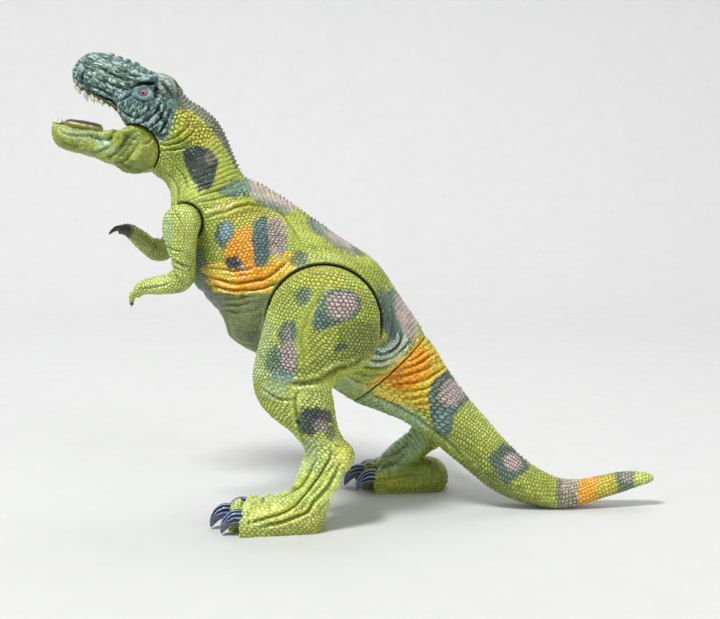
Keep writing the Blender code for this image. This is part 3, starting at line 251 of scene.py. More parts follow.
# Plain mesh tools


def spread(rows, per_gap):
    """Rows of numbers with smooth rows added between them."""
    rows = np.array(rows, float)
    held = np.vstack((2 * rows[0] - rows[1], rows, 2 * rows[-1] - rows[-2]))
    out = []
    for k in range(1, len(held) - 2):
        a, b, c, d = held[k - 1:k + 3]
        for t in np.arange(per_gap) / per_gap:
            out.append((2 * b + (c - a) * t + (2 * a - 5 * b + 4 * c - d) * t * t
                        + (3 * b - a - 3 * c + d) * t ** 3) / 2)
    out.append(held[-2])
    return np.array(out)


def section(top, low, outer, inner, plane, power, taper, count):
    """One rounded cross-section between two edge points."""
    turn = 2 * math.pi * np.arange(count) / count
    along = np.sign(np.cos(turn)) * np.abs(np.cos(turn)) ** (2 / power)
    across = np.sign(np.sin(turn)) * np.abs(np.sin(turn)) ** (2 / power)
    width = np.where(across > 0, outer, inner) * (1 - taper * np.maximum(along, 0))
    return (top + low) / 2 + np.outer(along, (top - low) / 2) + np.outer(plane + across * width, SIDE)


def circle(centre, axis, radius, count, start=None):
    """A ring of points round an axis."""
    axis = unit(axis)
    first = unit(np.cross(axis, UP if abs(axis[2]) < 0.5 else (1, 0, 0))) if start is None else start
    second = np.cross(axis, first)
    turn = 2 * math.pi * np.arange(count) / count
    return centre + radius * (np.outer(np.cos(turn), first) + np.outer(np.sin(turn), second))


def tube(rings):
    """A closed solid through rings of equal count, as points and faces that look outwards."""
    rings = np.array(rings, float)
    steps, count = rings.shape[:2]
    k = np.arange(count)
    after = (k + 1) % count
    faces = []
    for s in range(steps - 1):
        low, high = s * count, (s + 1) * count
        faces += np.stack((low + k, low + after, high + after, high + k), 1).tolist()
    faces += [list(reversed(range(count))), list(range((steps - 1) * count, steps * count))]
    points = rings.reshape(-1, 3)
    middle = points.mean(0)
    volume = sum(np.dot(np.cross(points[f[1]] - points[f[0]], points[f[2]] - points[f[0]]),
                        points[f[0]] - middle) for f in faces[:-2:7])
    if volume < 0:
        faces = [list(reversed(f)) for f in faces]
    return points, faces


def turned(centre, axis, profile, count=64):
    """A solid of revolution from pairs of distance along the axis and radius."""
    axis = unit(axis)
    return tube([circle(centre + axis * along, axis, radius, count) for along, radius in profile])


def block(low, high):
    """A box between two corners."""
    (a, b, c), (d, e, f) = low, high
    return tube([[(a, b, c), (d, b, c), (d, e, c), (a, e, c)], [(a, b, f), (d, b, f), (d, e, f), (a, e, f)]])


def made(name, *solids):
    """An object that holds some solids."""
    points, faces, start = [], [], 0
    for more_points, more_faces in solids:
        points.append(more_points)
        faces += [[start + k for k in face] for face in more_faces]
        start += len(more_points)
    mesh = bpy.data.meshes.new(name)
    mesh.from_pydata(np.vstack(points).tolist(), [], faces)
    mesh.update()
    part = bpy.data.objects.new(name, mesh)
    bpy.context.scene.collection.objects.link(part)
    return part


def applied(part):
    """Turns an object's modifiers into its mesh."""
    graph = bpy.context.evaluated_depsgraph_get()
    mesh = bpy.data.meshes.new_from_object(part.evaluated_get(graph))
    old = part.data
    part.modifiers.clear()
    part.data = mesh
    bpy.data.meshes.remove(old)
    return part


def melted(name, solids, voxel, passes=3):
    """One closed skin round overlapping solids."""
    part = made(name, *solids)
    grid = part.modifiers.new("grid", "REMESH")
    grid.mode = "VOXEL"
    grid.voxel_size = voxel * QUICK
    ease = part.modifiers.new("ease", "SMOOTH")
    ease.factor = 0.5
    ease.iterations = passes
    return applied(part)


def cut(part, *tools, inside=None):
    """Takes tools away from a part, one after another. The walls left get the inside finish."""
    for tool in tools:
        if isinstance(tool, tuple):
            tool = made("tool", tool)
        take = part.modifiers.new("take", "BOOLEAN")
        take.operation = "DIFFERENCE"
        take.solver = "MANIFOLD"
        take.object = tool
        if inside is not None:
            tool.data.materials.clear()
            tool.data.materials.append(inside)
            take.material_mode = "TRANSFER"
        applied(part)
        bpy.data.objects.remove(tool, do_unlink=True)
    return part


def rims_shaded(part):
    """Paints nearly black shade on the walls and rims of all cuts, the gaps between parts."""
    mesh = part.data
    corners = np.empty(len(mesh.loops), np.int32)
    mesh.loops.foreach_get("vertex_index", corners)
    counts, slots = np.empty(len(mesh.polygons), np.int32), np.empty(len(mesh.polygons), np.int32)
    mesh.polygons.foreach_get("loop_total", counts)
    mesh.polygons.foreach_get("material_index", slots)
    full = np.empty(len(mesh.vertices) * 4, np.float32)
    paint = mesh.color_attributes["paint"].data
    paint.foreach_get("color", full)
    full = full.reshape(-1, 4)
    rims = corners[np.repeat(slots, counts) > 0]
    # painted shade: the cut walls nearly black
    full[rims, :3] = RIM_SHADE
    paint.foreach_set("color", full.ravel())
    return part


def points_of(part):
    """A part's points as an array."""
    co = np.empty(len(part.data.vertices) * 3, np.float32)
    part.data.vertices.foreach_get("co", co)
    return co.reshape(-1, 3).astype(float)


def normals_of(part):
    """The way each of a part's points faces."""
    out = np.empty(len(part.data.vertices) * 3, np.float32)
    part.data.vertex_normals.foreach_get("vector", out)
    return out.reshape(-1, 3).astype(float)


def put_points(part, points):
    """Sets a part's points, none of them outside the solids' box."""
    inside = np.clip(points, np.array(cad_low) + 1e-5, np.array(cad_high) - 1e-5)
    part.data.vertices.foreach_set("co", inside.astype(np.float32).ravel())
    part.data.update()


def refined(part, share):
    """Splits each face in two both ways where the share is over a half."""
    bm = bmesh.new()
    bm.from_mesh(part.data)
    bm.verts.ensure_lookup_table()
    edges = [e for e in bm.edges if share[e.verts[0].index] > 0.5 and share[e.verts[1].index] > 0.5]
    bmesh.ops.subdivide_edges(bm, edges=edges, cuts=1, use_grid_fill=True)
    bm.to_mesh(part.data)
    bm.free()
    return part


# Fields over the figure


def step(low, high, value):
    """A smooth rise from 0 at low to 1 at high."""
    t = np.clip((value - low) / (high - low), 0, 1)
    return t * t * (3 - 2 * t)


def photo_place(points, fold=True):
    """Where points show in the photograph; with fold the far side lies on the near one."""
    side = -np.abs(points[:, 1]) if fold else points[:, 1]
    away = side + CAMERA_DISTANCE
    rise = points[:, 2] - CAMERA_HEIGHT
    depth = away * math.cos(CAMERA_TILT) - rise * math.sin(CAMERA_TILT)
    high = away * math.sin(CAMERA_TILT) + rise * math.cos(CAMERA_TILT)
    return np.stack((VIEW_CENTRE[0] + FOCAL_PIXELS * points[:, 0] / depth,
                     VIEW_CENTRE[1] - FOCAL_PIXELS * high / depth), 1)


# Whole numbers that stir the seeds, and a distance that nothing reaches
PRIMES = (374761393, 668265263, 974634777)
STIR = 1274126177
LOW_BITS = 0xFFFFFFFF
FAR = 1e9


def noise(points, size, seed):
    """Smooth random values from -1 to 1 with grains of one size."""
    at = points / size + seed * 7.31
    base = np.floor(at).astype(np.int64)
    part = at - base
    part = part * part * (3 - 2 * part)
    total = np.zeros(len(points))
    for corner in itertools.product((0, 1), repeat=points.shape[1]):
        mixed = sum((base[:, k] + corner[k]) * prime for k, prime in enumerate(PRIMES[:points.shape[1]]))
        mixed = (mixed + seed * 144665) & LOW_BITS
        mixed = ((mixed ^ (mixed >> 13)) * STIR) & LOW_BITS
        value = ((mixed ^ (mixed >> 16)) & 0xFFFF) / 32767.5 - 1
        weight = np.prod([part[:, k] if corner[k] else 1 - part[:, k] for k in range(points.shape[1])],
                         axis=0)
        total += value * weight
    return total


def layered(points, size, seed, layers=3):
    """Noise in finer and finer layers."""
    return sum(noise(points, size / 2 ** k, seed + k) / 2 ** k for k in range(layers)) / 1.75


def hashed(first, second, seed):
    """Three random numbers from -1 to 1 for each pair of whole numbers."""
    first, second = first.astype(np.int64), second.astype(np.int64)
    value = (first * PRIMES[0] + second * PRIMES[1] + seed * PRIMES[2]) & LOW_BITS
    numbers = []
    for turn in range(3):
        value = ((value ^ (value >> 13)) * STIR + turn) & LOW_BITS
        value = value ^ (value >> 16)
        numbers.append((value & 0xFFFF) / 32767.5 - 1)
    return numbers


def net(across, along, seed, loose=0.26):
    """Scales in rows, from places counted in scales: distance to the scale's edge, the way down from its
    middle, and a random number that each scale keeps."""
    row = np.floor(along)
    gaps = np.full((2, len(along)), FAR)
    middles = np.zeros((2, 2, len(along)))
    keep = np.zeros(len(along))
    for rise, shift in itertools.product((-1, 0, 1), repeat=2):
        line = row + rise
        slide = 0.5 * (line % 2)
        column = np.floor(across - slide) + shift
        aside, ahead, value = hashed(column, line, seed)
        middle = np.stack((column + slide + 0.5 + loose * aside, line + 0.5 + loose * ahead))
        gap = (across - middle[0]) ** 2 + (along - middle[1]) ** 2
        first = gap < gaps[0]
        second = ~first & (gap < gaps[1])
        middles[1] = np.where(first, middles[0], np.where(second, middle, middles[1]))
        gaps[1] = np.where(first, gaps[0], np.where(second, gap, gaps[1]))
        middles[0] = np.where(first, middle, middles[0])
        gaps[0] = np.where(first, gap, gaps[0])
        keep = np.where(first, value, keep)
    between = np.linalg.norm(middles[0] - middles[1], axis=0)
    edge = (gaps[1] - gaps[0]) / (2 * np.maximum(between, 1e-6))
    return edge, along - middles[0][1], 0.5 + 0.5 * keep


def pillows(found, high, rounding=0.36, tilt=0.35):
    """Height in mm of rounded scales that stand out at their lower edge, and how far each point is out
    of the grooves from 0 to 1."""
    edge, down, random = found
    rise = np.sin(math.pi / 2 * np.clip(edge / rounding, 0, 1))
    return high * rise * (0.75 + 0.5 * random + tilt * down), rise


def laid(kinds, tilt=0.35):
    """Height in mm and rise of several kinds of scales: each is its share, its net and its height."""
    height, rise = 0, 0
    for share, found, high in kinds:
        more, out = pillows(found, high, tilt=tilt)
        height = height + share * more
        rise = rise + share * out
    return height, rise


def puckers(points, size, way, seed):
    """How far each point is out of winding furrows that run one way, from 0 to 1."""
    way = unit(way)
    drawn = points + np.outer(-0.60 * (points @ way), way)
    big = np.clip(np.abs(layered(drawn, size, seed, 2)) * 4.2, 0, 1) ** 0.8
    small = np.clip(np.abs(layered(drawn, size * 0.52, seed + 5, 2)) * 4.2, 0, 1) ** 0.8
    return 0.45 * big + 0.55 * small


def middle_line(rows):
    """The middle of rows of sections in the plane that the photograph shows, in metres."""
    return np.array([((side_point(r[0], r[1]) + side_point(r[2], r[3])) / 2)[[0, 2]] for r in rows])


def unrolled(points, line):
    """A limb's skin rolled out from its middle line, both sides alike, in mm: its flat places, and the
    way along the line and round it."""
    flat = points[:, [0, 2]]
    gap, along = line_fields(flat, line, 1)
    lengths = np.concatenate(([0], np.cumsum(np.linalg.norm(np.diff(line, axis=0), axis=1))))
    run = along * lengths[-1]
    near = np.stack([np.interp(run, lengths, line[:, k]) for k in (0, 1)], 1)
    ahead = np.stack([np.interp(run + 0.002, lengths, line[:, k])
                      - np.interp(run - 0.002, lengths, line[:, k])
                      for k in (0, 1)], 1)
    bins = np.linspace(0, 1, 41)
    width = np.full(41, 0.004)
    np.maximum.at(width, np.round(along * 40).astype(int), np.abs(points[:, 1]))
    width = np.convolve(np.pad(width, 2, mode="edge"), np.full(5, 0.2), "valid")
    wide = np.interp(along, bins, width)
    roll = np.maximum(wide - np.abs(points[:, 1]), 0) * np.tanh(gap / (0.3 * wide))
    out = (flat - near) / np.maximum(gap, 1e-6)[:, None]
    side = np.sign(ahead[:, 0] * (flat - near)[:, 1] - ahead[:, 1] * (flat - near)[:, 0])
    return (flat + out * roll[:, None]) / MM, run / MM, side * (gap + roll) / MM


def swayed(points, *places, broad=1.3, fine=0.20, seed=1):
    """Places in mm with bent rows and uneven edges."""
    return [place + broad * layered(points, 15 * MM, seed + 2 * k) + fine
            * noise(points, 1.6 * MM, seed + 2 * k + 1)
            for k, place in enumerate(places)]


def line_fields(place, line, smooth=4):
    """Distance in pixels to a smooth line, and how far along it from 0 to 1."""
    path = spread(line, smooth) if len(line) > 2 else np.array(line, float)
    lengths = np.linalg.norm(np.diff(path, axis=0), axis=1)
    starts = np.concatenate(([0], np.cumsum(lengths)))
    best = np.full(len(place), FAR)
    along = np.zeros(len(place))
    for k in range(len(path) - 1):
        way = path[k + 1] - path[k]
        t = np.clip(((place - path[k]) @ way) / (way @ way), 0, 1)
        gap = np.linalg.norm(place - path[k] - t[:, None] * way, axis=1)
        closer = gap < best
        best[closer] = gap[closer]
        along[closer] = ((starts[k] + t * lengths[k]) / starts[-1])[closer]
    return best, along


def folds(place, lines):
    """Height of folds and how near they are: each line is its depth in mm, its width in pixels, the
    share of its raised lips, and its points."""
    total = np.zeros(len(place))
    near = np.zeros(len(place))
    for depth, width, lip, line in lines:
        gap, along = line_fields(place, line)
        fade = np.sqrt(np.clip(np.sin(math.pi * np.clip(along, 0.01, 0.99)), 0, 1))
        total -= fade * depth * MM * np.exp(-(gap / width) ** 2)
        total += fade * depth * lip * MM * np.exp(-((gap - 2.2 * width) / (1.1 * width)) ** 2)
        near = np.maximum(near, fade * np.exp(-(gap / (2.6 * width)) ** 2))
    return total * FOLD_SHARE, near


def bent(place, points, by, size, seed):
    """Places in the photograph moved a few pixels, so that no fold runs straight."""
    return place + by * np.stack((layered(points, size * MM, seed), layered(points, size * MM, seed + 1)), 1)


def wrinkled(place, points, lines, fields, by, seed, share=0.6):
    """Heights of a skin's folds and ribs, and how much room they leave to its scales."""
    deep, near = folds(bent(place, points, by, 5, seed + 45), lines)
    ribbed, inside = ribs(place, fields, layered(points, 6 * MM, seed + 41))
    return deep, ribbed, 1 - share * np.maximum(near, inside)


def from_axis(points, centre):
    """How far points are from an axis that runs from side to side."""
    return np.hypot(points[:, 0] - centre[0], points[:, 2] - centre[2])


def oval(place, spot):
    """How far out of an oval each point is, 1 on its outline. A spot is its centre, radii and turn."""
    x, y, rx, ry, turn = spot
    c, s = math.cos(math.radians(turn)), math.sin(math.radians(turn))
    dx, dy = place[:, 0] - x, place[:, 1] - y
    return np.hypot((dx * c + dy * s) / rx, (dy * c - dx * s) / ry)


def swellings(place, spots):
    """Height of rounded muscles: each is its height in mm and its oval."""
    return sum(height * MM * np.maximum(1 - oval(place, spot) ** 2, 0) ** 1.5 for height, spot in spots)


def ribs(place, rows, grain):
    """Height of ribbed fields and how far in them points are: each is its height in mm, wave in pixels,
    direction across the ribs in degrees, and its oval."""
    total = np.zeros(len(place))
    within_ribs = np.zeros(len(place))
    for height, wave, turn, spot in rows:
        c, s = math.cos(math.radians(turn)), math.sin(math.radians(turn))
        phase = (place[:, 0] * c + place[:, 1] * s) / wave + grain * 0.30
        hill = np.abs(np.sin(math.pi * phase)) ** 0.7 - 0.6
        share = step(1.1, 0.75, oval(place, spot))
        total += height * MM * hill * share
        within_ribs = np.maximum(within_ribs, share * min(height / 0.7, 1))
    return total, within_ribs


def within(place, outline):
    """Signed distance in pixels to an outline, positive inside."""
    corners = np.array(outline, float)
    gap = np.full(len(place), FAR)
    inside = np.zeros(len(place), bool)
    for a, b in zip(corners, np.roll(corners, -1, axis=0)):
        way = b - a
        t = np.clip(((place - a) @ way) / (way @ way), 0, 1)
        gap = np.minimum(gap, np.linalg.norm(place - a - t[:, None] * way, axis=1))
        crosses = (a[1] > place[:, 1]) != (b[1] > place[:, 1])
        if a[1] != b[1]:
            inside ^= crosses & (place[:, 0] < a[0] + (place[:, 1] - a[1]) / (b[1] - a[1]) * (b[0] - a[0]))
    return np.where(inside, gap, -gap)


# Paint


def linear(*colour):
    """A colour of 0 to 255 screen values as light."""
    share = np.array(colour, float) / 255
    return np.where(share <= 0.04045, share / 12.92, ((share + 0.055) / 1.055) ** 2.4)


GREEN = linear(164, 177, 68)
LEAF = linear(132, 150, 56)
OLIVE = linear(92, 100, 38)
PALE_GREEN = linear(208, 224, 122)
MINT = linear(166, 196, 156)
TEAL = linear(74, 106, 104)
HEAD_TEAL = linear(86, 120, 112)
DEEP_TEAL = linear(44, 66, 66)
INK = linear(22, 32, 34)
BLUE = linear(142, 176, 178)
LILAC = linear(180, 163, 156)
GREY = linear(126, 132, 120)
ORANGE = linear(238, 162, 34)
YELLOW = linear(224, 194, 60)
BELLY = linear(112, 122, 74)
IVORY = linear(222, 224, 210)
ROOT = linear(138, 128, 96)
NAVY = linear(24, 32, 48)
STEEL_BLUE = linear(122, 138, 168)
PINK = linear(206, 120, 150)
BLACK = linear(12, 12, 14)
MOUTH = linear(136, 142, 70)
TONGUE = linear(74, 56, 38)
FOLD_LIP_HIGHLIGHT = linear(196, 210, 200)
HEAD_HIGHLIGHT = linear(186, 212, 202)
IRIS_RIM = linear(150, 40, 70)


def mixed(colours, paint, weight):
    """Colours moved towards a paint."""
    return colours + (paint - colours) * weight[:, None]


def painted(place, points, base, layers, seed, random=0.5, soft=0.24, rough=0.22):
    """Sprayed patches: each layer is its colour, its strength and its oval or outline."""
    colours = np.tile(base, (len(points), 1))
    edge = layered(points, 3.4 * MM, seed) + 1.1 * (random - 0.5)
    for paint, strength, spot in layers:
        if isinstance(spot, list):
            inside = within(place, spot) / 6
            weight = step(-soft, soft, inside + edge * rough * 1.6)
        else:
            weight = step(1 + soft, 1 - soft, oval(place, spot) + edge * rough)
        colours = mixed(colours, paint, strength * weight)
    return colours


def painted_shade_and_highlight(colours, points, raised, random, seed, wash_and_shade=0.95, highlight_share=0.70):
    """Darkens the grooves, partly the toy's own dark paint and partly painted shade, paints highlights on the
    raised scales and varies the scales a little.
    """
    vary = 1 + 0.34 * (random - 0.5) + 0.10 * layered(points, 9 * MM, seed + 11) + 0.05 * noise(points,
                                                                                                0.8 * MM, seed + 5)
    colours = colours * vary[:, None]
    greyness = step(0.62, 0.30, 1 - colours.min(axis=1) / (colours.max(axis=1) + 1e-4))
    # painted shade in the grooves, over the toy's own dark paint there
    share = wash_and_shade * (0.86 + 0.14 * layered(points, 11 * MM, seed + 12) + 0.22 * greyness)
    colours = mixed(colours, colours * 0.08, np.clip(share * np.clip(1.14 - raised * 1.50, 0, 1), 0, 1))
    # painted highlights on the raised scales
    top_highlight = np.clip(step(0.66, 1.0, raised) * (0.62 + 0.60 * noise(points, 1.8 * MM, seed + 3)), 0, 1)
    dark = np.clip(1 - colours.mean(axis=1) * 5, 0, 1)
    lit = colours * 1.55 + np.array((0.08, 0.105, 0.095)) * dark[:, None] + 0.02
    return np.clip(mixed(colours, lit, highlight_share * top_highlight), 0, 1)


def brush(part, colours):
    """Stores a part's colours on its points."""
    layer = part.data.color_attributes.new("paint", "FLOAT_COLOR", "POINT")
    full = np.ones((len(part.data.vertices), 4), np.float32)
    full[:, :3] = colours
    layer.data.foreach_set("color", full.ravel())


# Materials


def material(name, roughness=(0.36, 0.52), grain=0.0009, depth=0.12, metallic=0.0, colour=None, speck=None):
    """Moulded plastic or metal: paint from the points or between two colours, with a fine grain."""
    finish = bpy.data.materials.new(name)
    finish.use_nodes = True
    tree = finish.node_tree
    shader = tree.nodes["Principled BSDF"]
    shader.inputs["Metallic"].default_value = metallic
    where = tree.nodes.new("ShaderNodeTexCoord")

    def grainy(size, detail):
        node = tree.nodes.new("ShaderNodeTexNoise")
        node.inputs["Scale"].default_value = 1 / size
        node.inputs["Detail"].default_value = detail
        tree.links.new(where.outputs["Object"], node.inputs["Vector"])
        return node.outputs["Fac"]

    fine = grainy(grain, 4)
    broad = grainy(grain * 7, 3)
    gloss = tree.nodes.new("ShaderNodeMapRange")
    gloss.inputs["From Min"].default_value = 0.3
    gloss.inputs["From Max"].default_value = 0.7
    gloss.inputs["To Min"].default_value, gloss.inputs["To Max"].default_value = roughness
    tree.links.new(broad, gloss.inputs["Value"])
    tree.links.new(gloss.outputs["Result"], shader.inputs["Roughness"])
    bump = tree.nodes.new("ShaderNodeBump")
    bump.inputs["Strength"].default_value = depth
    bump.inputs["Distance"].default_value = 0.0004
    tree.links.new(fine, bump.inputs["Height"])
    tree.links.new(bump.outputs["Normal"], shader.inputs["Normal"])
    mix = tree.nodes.new("ShaderNodeMix")
    mix.data_type = "RGBA"
    first, second, result = mix.inputs[6], mix.inputs[7], mix.outputs[2]
    if colour is None:
        paint = tree.nodes.new("ShaderNodeAttribute")
        paint.attribute_name = "paint"
        tree.links.new(paint.outputs["Color"], first)
        dark = tree.nodes.new("ShaderNodeHueSaturation")
        dark.inputs["Value"].default_value = 0.80
        tree.links.new(paint.outputs["Color"], dark.inputs["Color"])
        tree.links.new(dark.outputs["Color"], second)
    else:
        first.default_value = (*colour, 1)
        second.default_value = (*speck, 1)
    share = tree.nodes.new("ShaderNodeMapRange")
    share.inputs["From Min"].default_value = 0.42
    share.inputs["From Max"].default_value = 0.68
    tree.links.new(fine, share.inputs["Value"])
    tree.links.new(share.outputs["Result"], mix.inputs["Factor"])
    tree.links.new(result, shader.inputs["Base Color"])
    return finish


SKIN = material("painted_skin", roughness=(0.26, 0.44), grain=0.0006, depth=0.16)
CLAW = material("claw_paint", roughness=(0.16, 0.30), grain=0.0012, depth=0.05)
TOOTH = material("tooth_paint", roughness=(0.22, 0.36), grain=0.0008, depth=0.06)
EYE = material("eye_paint", roughness=(0.08, 0.14), grain=0.0006, depth=0.02)
LINING = material("mouth_paint", roughness=(0.28, 0.42), grain=0.0010, depth=0.10)
RAW = material("raw_plastic", roughness=(0.40, 0.55), grain=0.0014, depth=0.08,
               colour=linear(74, 82, 36), speck=linear(60, 68, 30))
PEG = material("peg_plastic", roughness=(0.34, 0.48), grain=0.0016, depth=0.06,
               colour=linear(208, 208, 202), speck=linear(190, 190, 184))
ZINC = material("zinc_steel", roughness=(0.22, 0.40), grain=0.0006, depth=0.08, metallic=1.0,
                colour=linear(198, 200, 204), speck=linear(166, 168, 172))
LINING_RAW = material("mouth_edge", roughness=(0.35, 0.5), grain=0.0010, depth=0.10,
                      colour=linear(96, 92, 44), speck=linear(78, 74, 34))


def dressed(part, finish, smooth=True):
    """Puts a finish on a part's first slot and keeps it soft shaded."""
    if len(part.data.materials):
        part.data.materials[0] = finish
    else:
        part.data.materials.append(finish)
    if smooth:
        part.data.shade_smooth()
    return part


def seated(part, body, slot, *nodes):
    """Hangs a finished piece on its body."""
    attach(part, body)
    if nodes:
        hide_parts(*nodes)
    return part


def crisp(part, degrees=42):
    """Keeps the cut edges sharp."""
    part.data.set_sharp_from_angle(angle=math.radians(degrees))
    return part


# Body


def section_rings(rows, plane, outer_scale, inner_limit, taper, count, inset=0.0):
    """Rings from rows of sections. Widths are shares of the outer scale."""
    rings = []
    for tx, tz, lx, lz, width, power in rows:
        top, low = side_point(tx, tz), side_point(lx, lz)
        way = unit(low - top) * inset
        outer = max(width * outer_scale - inset, 0.0002)
        rings.append(section(top + way, low - way, outer, min(outer, inner_limit), plane, power, taper,
                             count))
    return rings


def on_sections(rows, place, width_share):
    """Lower and upper edge points and half width at a place along rows of sections."""
    index = min(int(place), len(rows) - 2)
    row = np.array(rows[index]) * (1 - place + index) + np.array(rows[index + 1]) * (place - index)
    return side_point(row[2], row[3]), side_point(row[0], row[1]), row[4] * HALF_WIDTH * width_share


def cavity():
    """The hollow of the neck and trunk, left solid round the bosses, hips and shoulders."""
    rings = section_rings(BODY_SECTIONS[HEAD_ROWS:-1], 0, HALF_WIDTH, 1, BODY_TAPER, 24, WALL)
    end = section_rings(BODY_SECTIONS[-1:], 0, HALF_WIDTH, 1, BODY_TAPER, 24, WALL)[0]
    hollow = made("hollow", tube(rings + [end - TAIL_AXIS * END_WALL]))
    tools = [turned(side_point(*place), SIDE, [(-THROUGH, BOSS_RADIUS), (THROUGH, BOSS_RADIUS)], 24)
             for place in SCREW_PLACES]
    for side in (-1, 1):
        for centre, depth, radius in ((HIP, HIP_FLOOR - WALL, THIGH_DISC_RADIUS),
                                      (SHOULDER, SHOULDER_FLOOR - SHOULDER_BED, SHOULDER_DISC_RADIUS)):
            tools.append(turned(centre, SIDE * side, [(depth, radius + POCKET_ROOM + WALL),
                                                      (THROUGH, radius + POCKET_ROOM + WALL)], 48))
    return cut(hollow, *tools)


def hollowed(part, side):
    """Cuts one half shell out of the whole: seam, pockets, hollow, holes."""
    out = SIDE * side
    seam = SEAM_GAP / 2
    if side < 0:
        tools = [block((-REACH, -seam, -REACH), (REACH, REACH, REACH))]
    else:
        tools = [block((-REACH, -REACH, -REACH), (REACH, seam, REACH))]
    for centre, depth, floor, hole, radius in (
            (HIP, WALL, HIP_FLOOR, HIP_HUB_RADIUS, THIGH_DISC_RADIUS),
            (SHOULDER, SHOULDER_BED, SHOULDER_FLOOR, SHOULDER_PEG_RADIUS, SHOULDER_DISC_RADIUS)):
        tools.append(turned(centre, out, [(floor, radius + POCKET_ROOM), (THROUGH, radius + POCKET_ROOM)],
                            96))
        tools.append(turned(centre, out, [(floor - depth - 0.004, hole + EASE), (floor + 0.002, hole + EASE)],
                            48))
    tools.append(turned(JAW_PIVOT, out, [(JAW_CORE_WIDTH / 2, JAW_DISC_RADIUS + POCKET_ROOM),
                                         (THROUGH, JAW_DISC_RADIUS + POCKET_ROOM)], 96))
    tools.append(tube(palate_rings(SEAT_GAP * 2, 0.002, 8)))
    tools.append(turned(SEAM_CENTRE, TAIL_AXIS,
                        [(-0.006, TAIL_PEG_RADIUS + EASE), (0.004, TAIL_PEG_RADIUS + EASE)], 48))
    tools.append(turned(JAW_PIVOT, SIDE, [(-0.03, JAW_AXLE_RADIUS + EASE), (0.03, JAW_AXLE_RADIUS + EASE)],
                        24))
    room = SHOULDER_FLOOR - SHOULDER_BED
    tools.append(turned(SHOULDER, SIDE, [(-room, RETAINER_RADIUS + EASE), (room, RETAINER_RADIUS + EASE)],
                        32))
    for place in SCREW_PLACES:
        centre = side_point(*place)
        profile = ([(HOLE_START, SHANK_HOLE), (SCREW_SEAT, SHANK_HOLE), (SCREW_SEAT, HEAD_HOLE),
                    (THROUGH, HEAD_HOLE)] if side > 0
                   else [(HOLE_START, PILOT_HOLE), (PILOT_DEPTH, PILOT_HOLE)])
        tools.append(turned(centre, out, profile, 20))
    return rims_shaded(cut(part, *tools, cavity(), inside=RAW))


def palate_rings(grow, proud, power):
    """Rings of the palate, or of its bed where they grow."""
    rings = []
    for place in PALATE_PLACES:
        low, top, width = on_sections(BODY_SECTIONS, place, 0.80)
        up = unit(top - low)
        rings.append(section(low + up * (0.0024 + grow), low - up * proud, width + grow, width + grow,
                             0, power, 0, 32))
    return rings


CHEEK = [(116, 100), (132, 98), (150, 103), (172, 96), (176, 135), (150, 140), (118, 130)]
HEAD_OUTLINE = [(60, 40), (150, 50), (176, 70), (180, 100), (175, 112), (171, 124), (170, 134), (165, 143),
                (157, 139), (148, 133), (120, 132), (60, 112)]
BODY_FOLDS = [
    # shoulder ridge and the panel behind it
    (1.1, 1.6, 0.9, [(202, 219), (214, 215), (227, 211), (241, 207), (253, 205), (266, 207)]),
    (0.5, 1.8, 0.6, [(266, 205), (276, 209), (284, 216), (293, 229), (300, 240), (306, 250)]),
    # flank folds
    (0.6, 1.4, 0.7, [(202, 266), (215, 269), (231, 271), (247, 270), (262, 266)]),
    (1.1, 1.8, 1.0, [(205, 274), (212, 278), (230, 283), (247, 283), (263, 279), (277, 271), (287, 262)]),
    (1.1, 1.8, 1.0, [(205, 282), (215, 286), (232, 289), (253, 291), (273, 285), (287, 277), (297, 268)]),
    (0.7, 1.6, 0.6, [(212, 291), (224, 294), (247, 296), (266, 292), (282, 284)]),
    # belly wrinkles and the belly's own swelling
    (0.7, 1.6, 0.6, [(198, 290), (207, 294), (216, 298), (236, 299), (262, 296)]),
    (0.6, 1.5, 0.5, [(210, 300), (220, 302), (236, 305), (260, 301)]),
    (0.5, 1.5, 0.5, [(216, 309), (228, 311), (244, 312), (262, 308)]),
    (0.5, 1.6, 0.4, [(226, 316), (230, 326), (234, 338), (243, 344), (258, 347)]),
    # behind the hip
    (1.2, 1.6, 1.0, [(374, 352), (384, 354), (393, 350), (400, 342), (402, 332)]),
    (1.2, 1.6, 1.0, [(364, 358), (376, 361), (390, 359), (400, 352), (408, 343)]),
    (1.0, 1.6, 0.9, [(350, 366), (366, 368), (382, 367), (398, 359), (412, 349)]),
    (0.6, 1.6, 0.6, [(352, 374), (368, 376), (384, 374), (398, 366)]),
    (0.5, 1.5, 0.5, [(340, 372), (352, 380), (366, 384), (378, 382)]),
    # neck
    (0.8, 1.3, 0.7, [(160, 141), (168, 140), (176, 136), (184, 130), (190, 122)]),
    (0.8, 1.3, 0.7, [(159, 145), (168, 145), (178, 142), (188, 136), (196, 128)]),
    (0.6, 1.3, 0.6, [(160, 150), (170, 150), (180, 149), (188, 144)]),
    (0.6, 1.5, 0.5, [(166, 172), (174, 180), (178, 190), (178, 202)]),
    (0.5, 1.4, 0.5, [(176, 168), (184, 178), (188, 190)]),
    (0.5, 1.4, 0.5, [(196, 196), (208, 193), (222, 190), (236, 187)]),
    (0.5, 1.4, 0.5, [(194, 204), (208, 201), (224, 197), (242, 194)]),
]
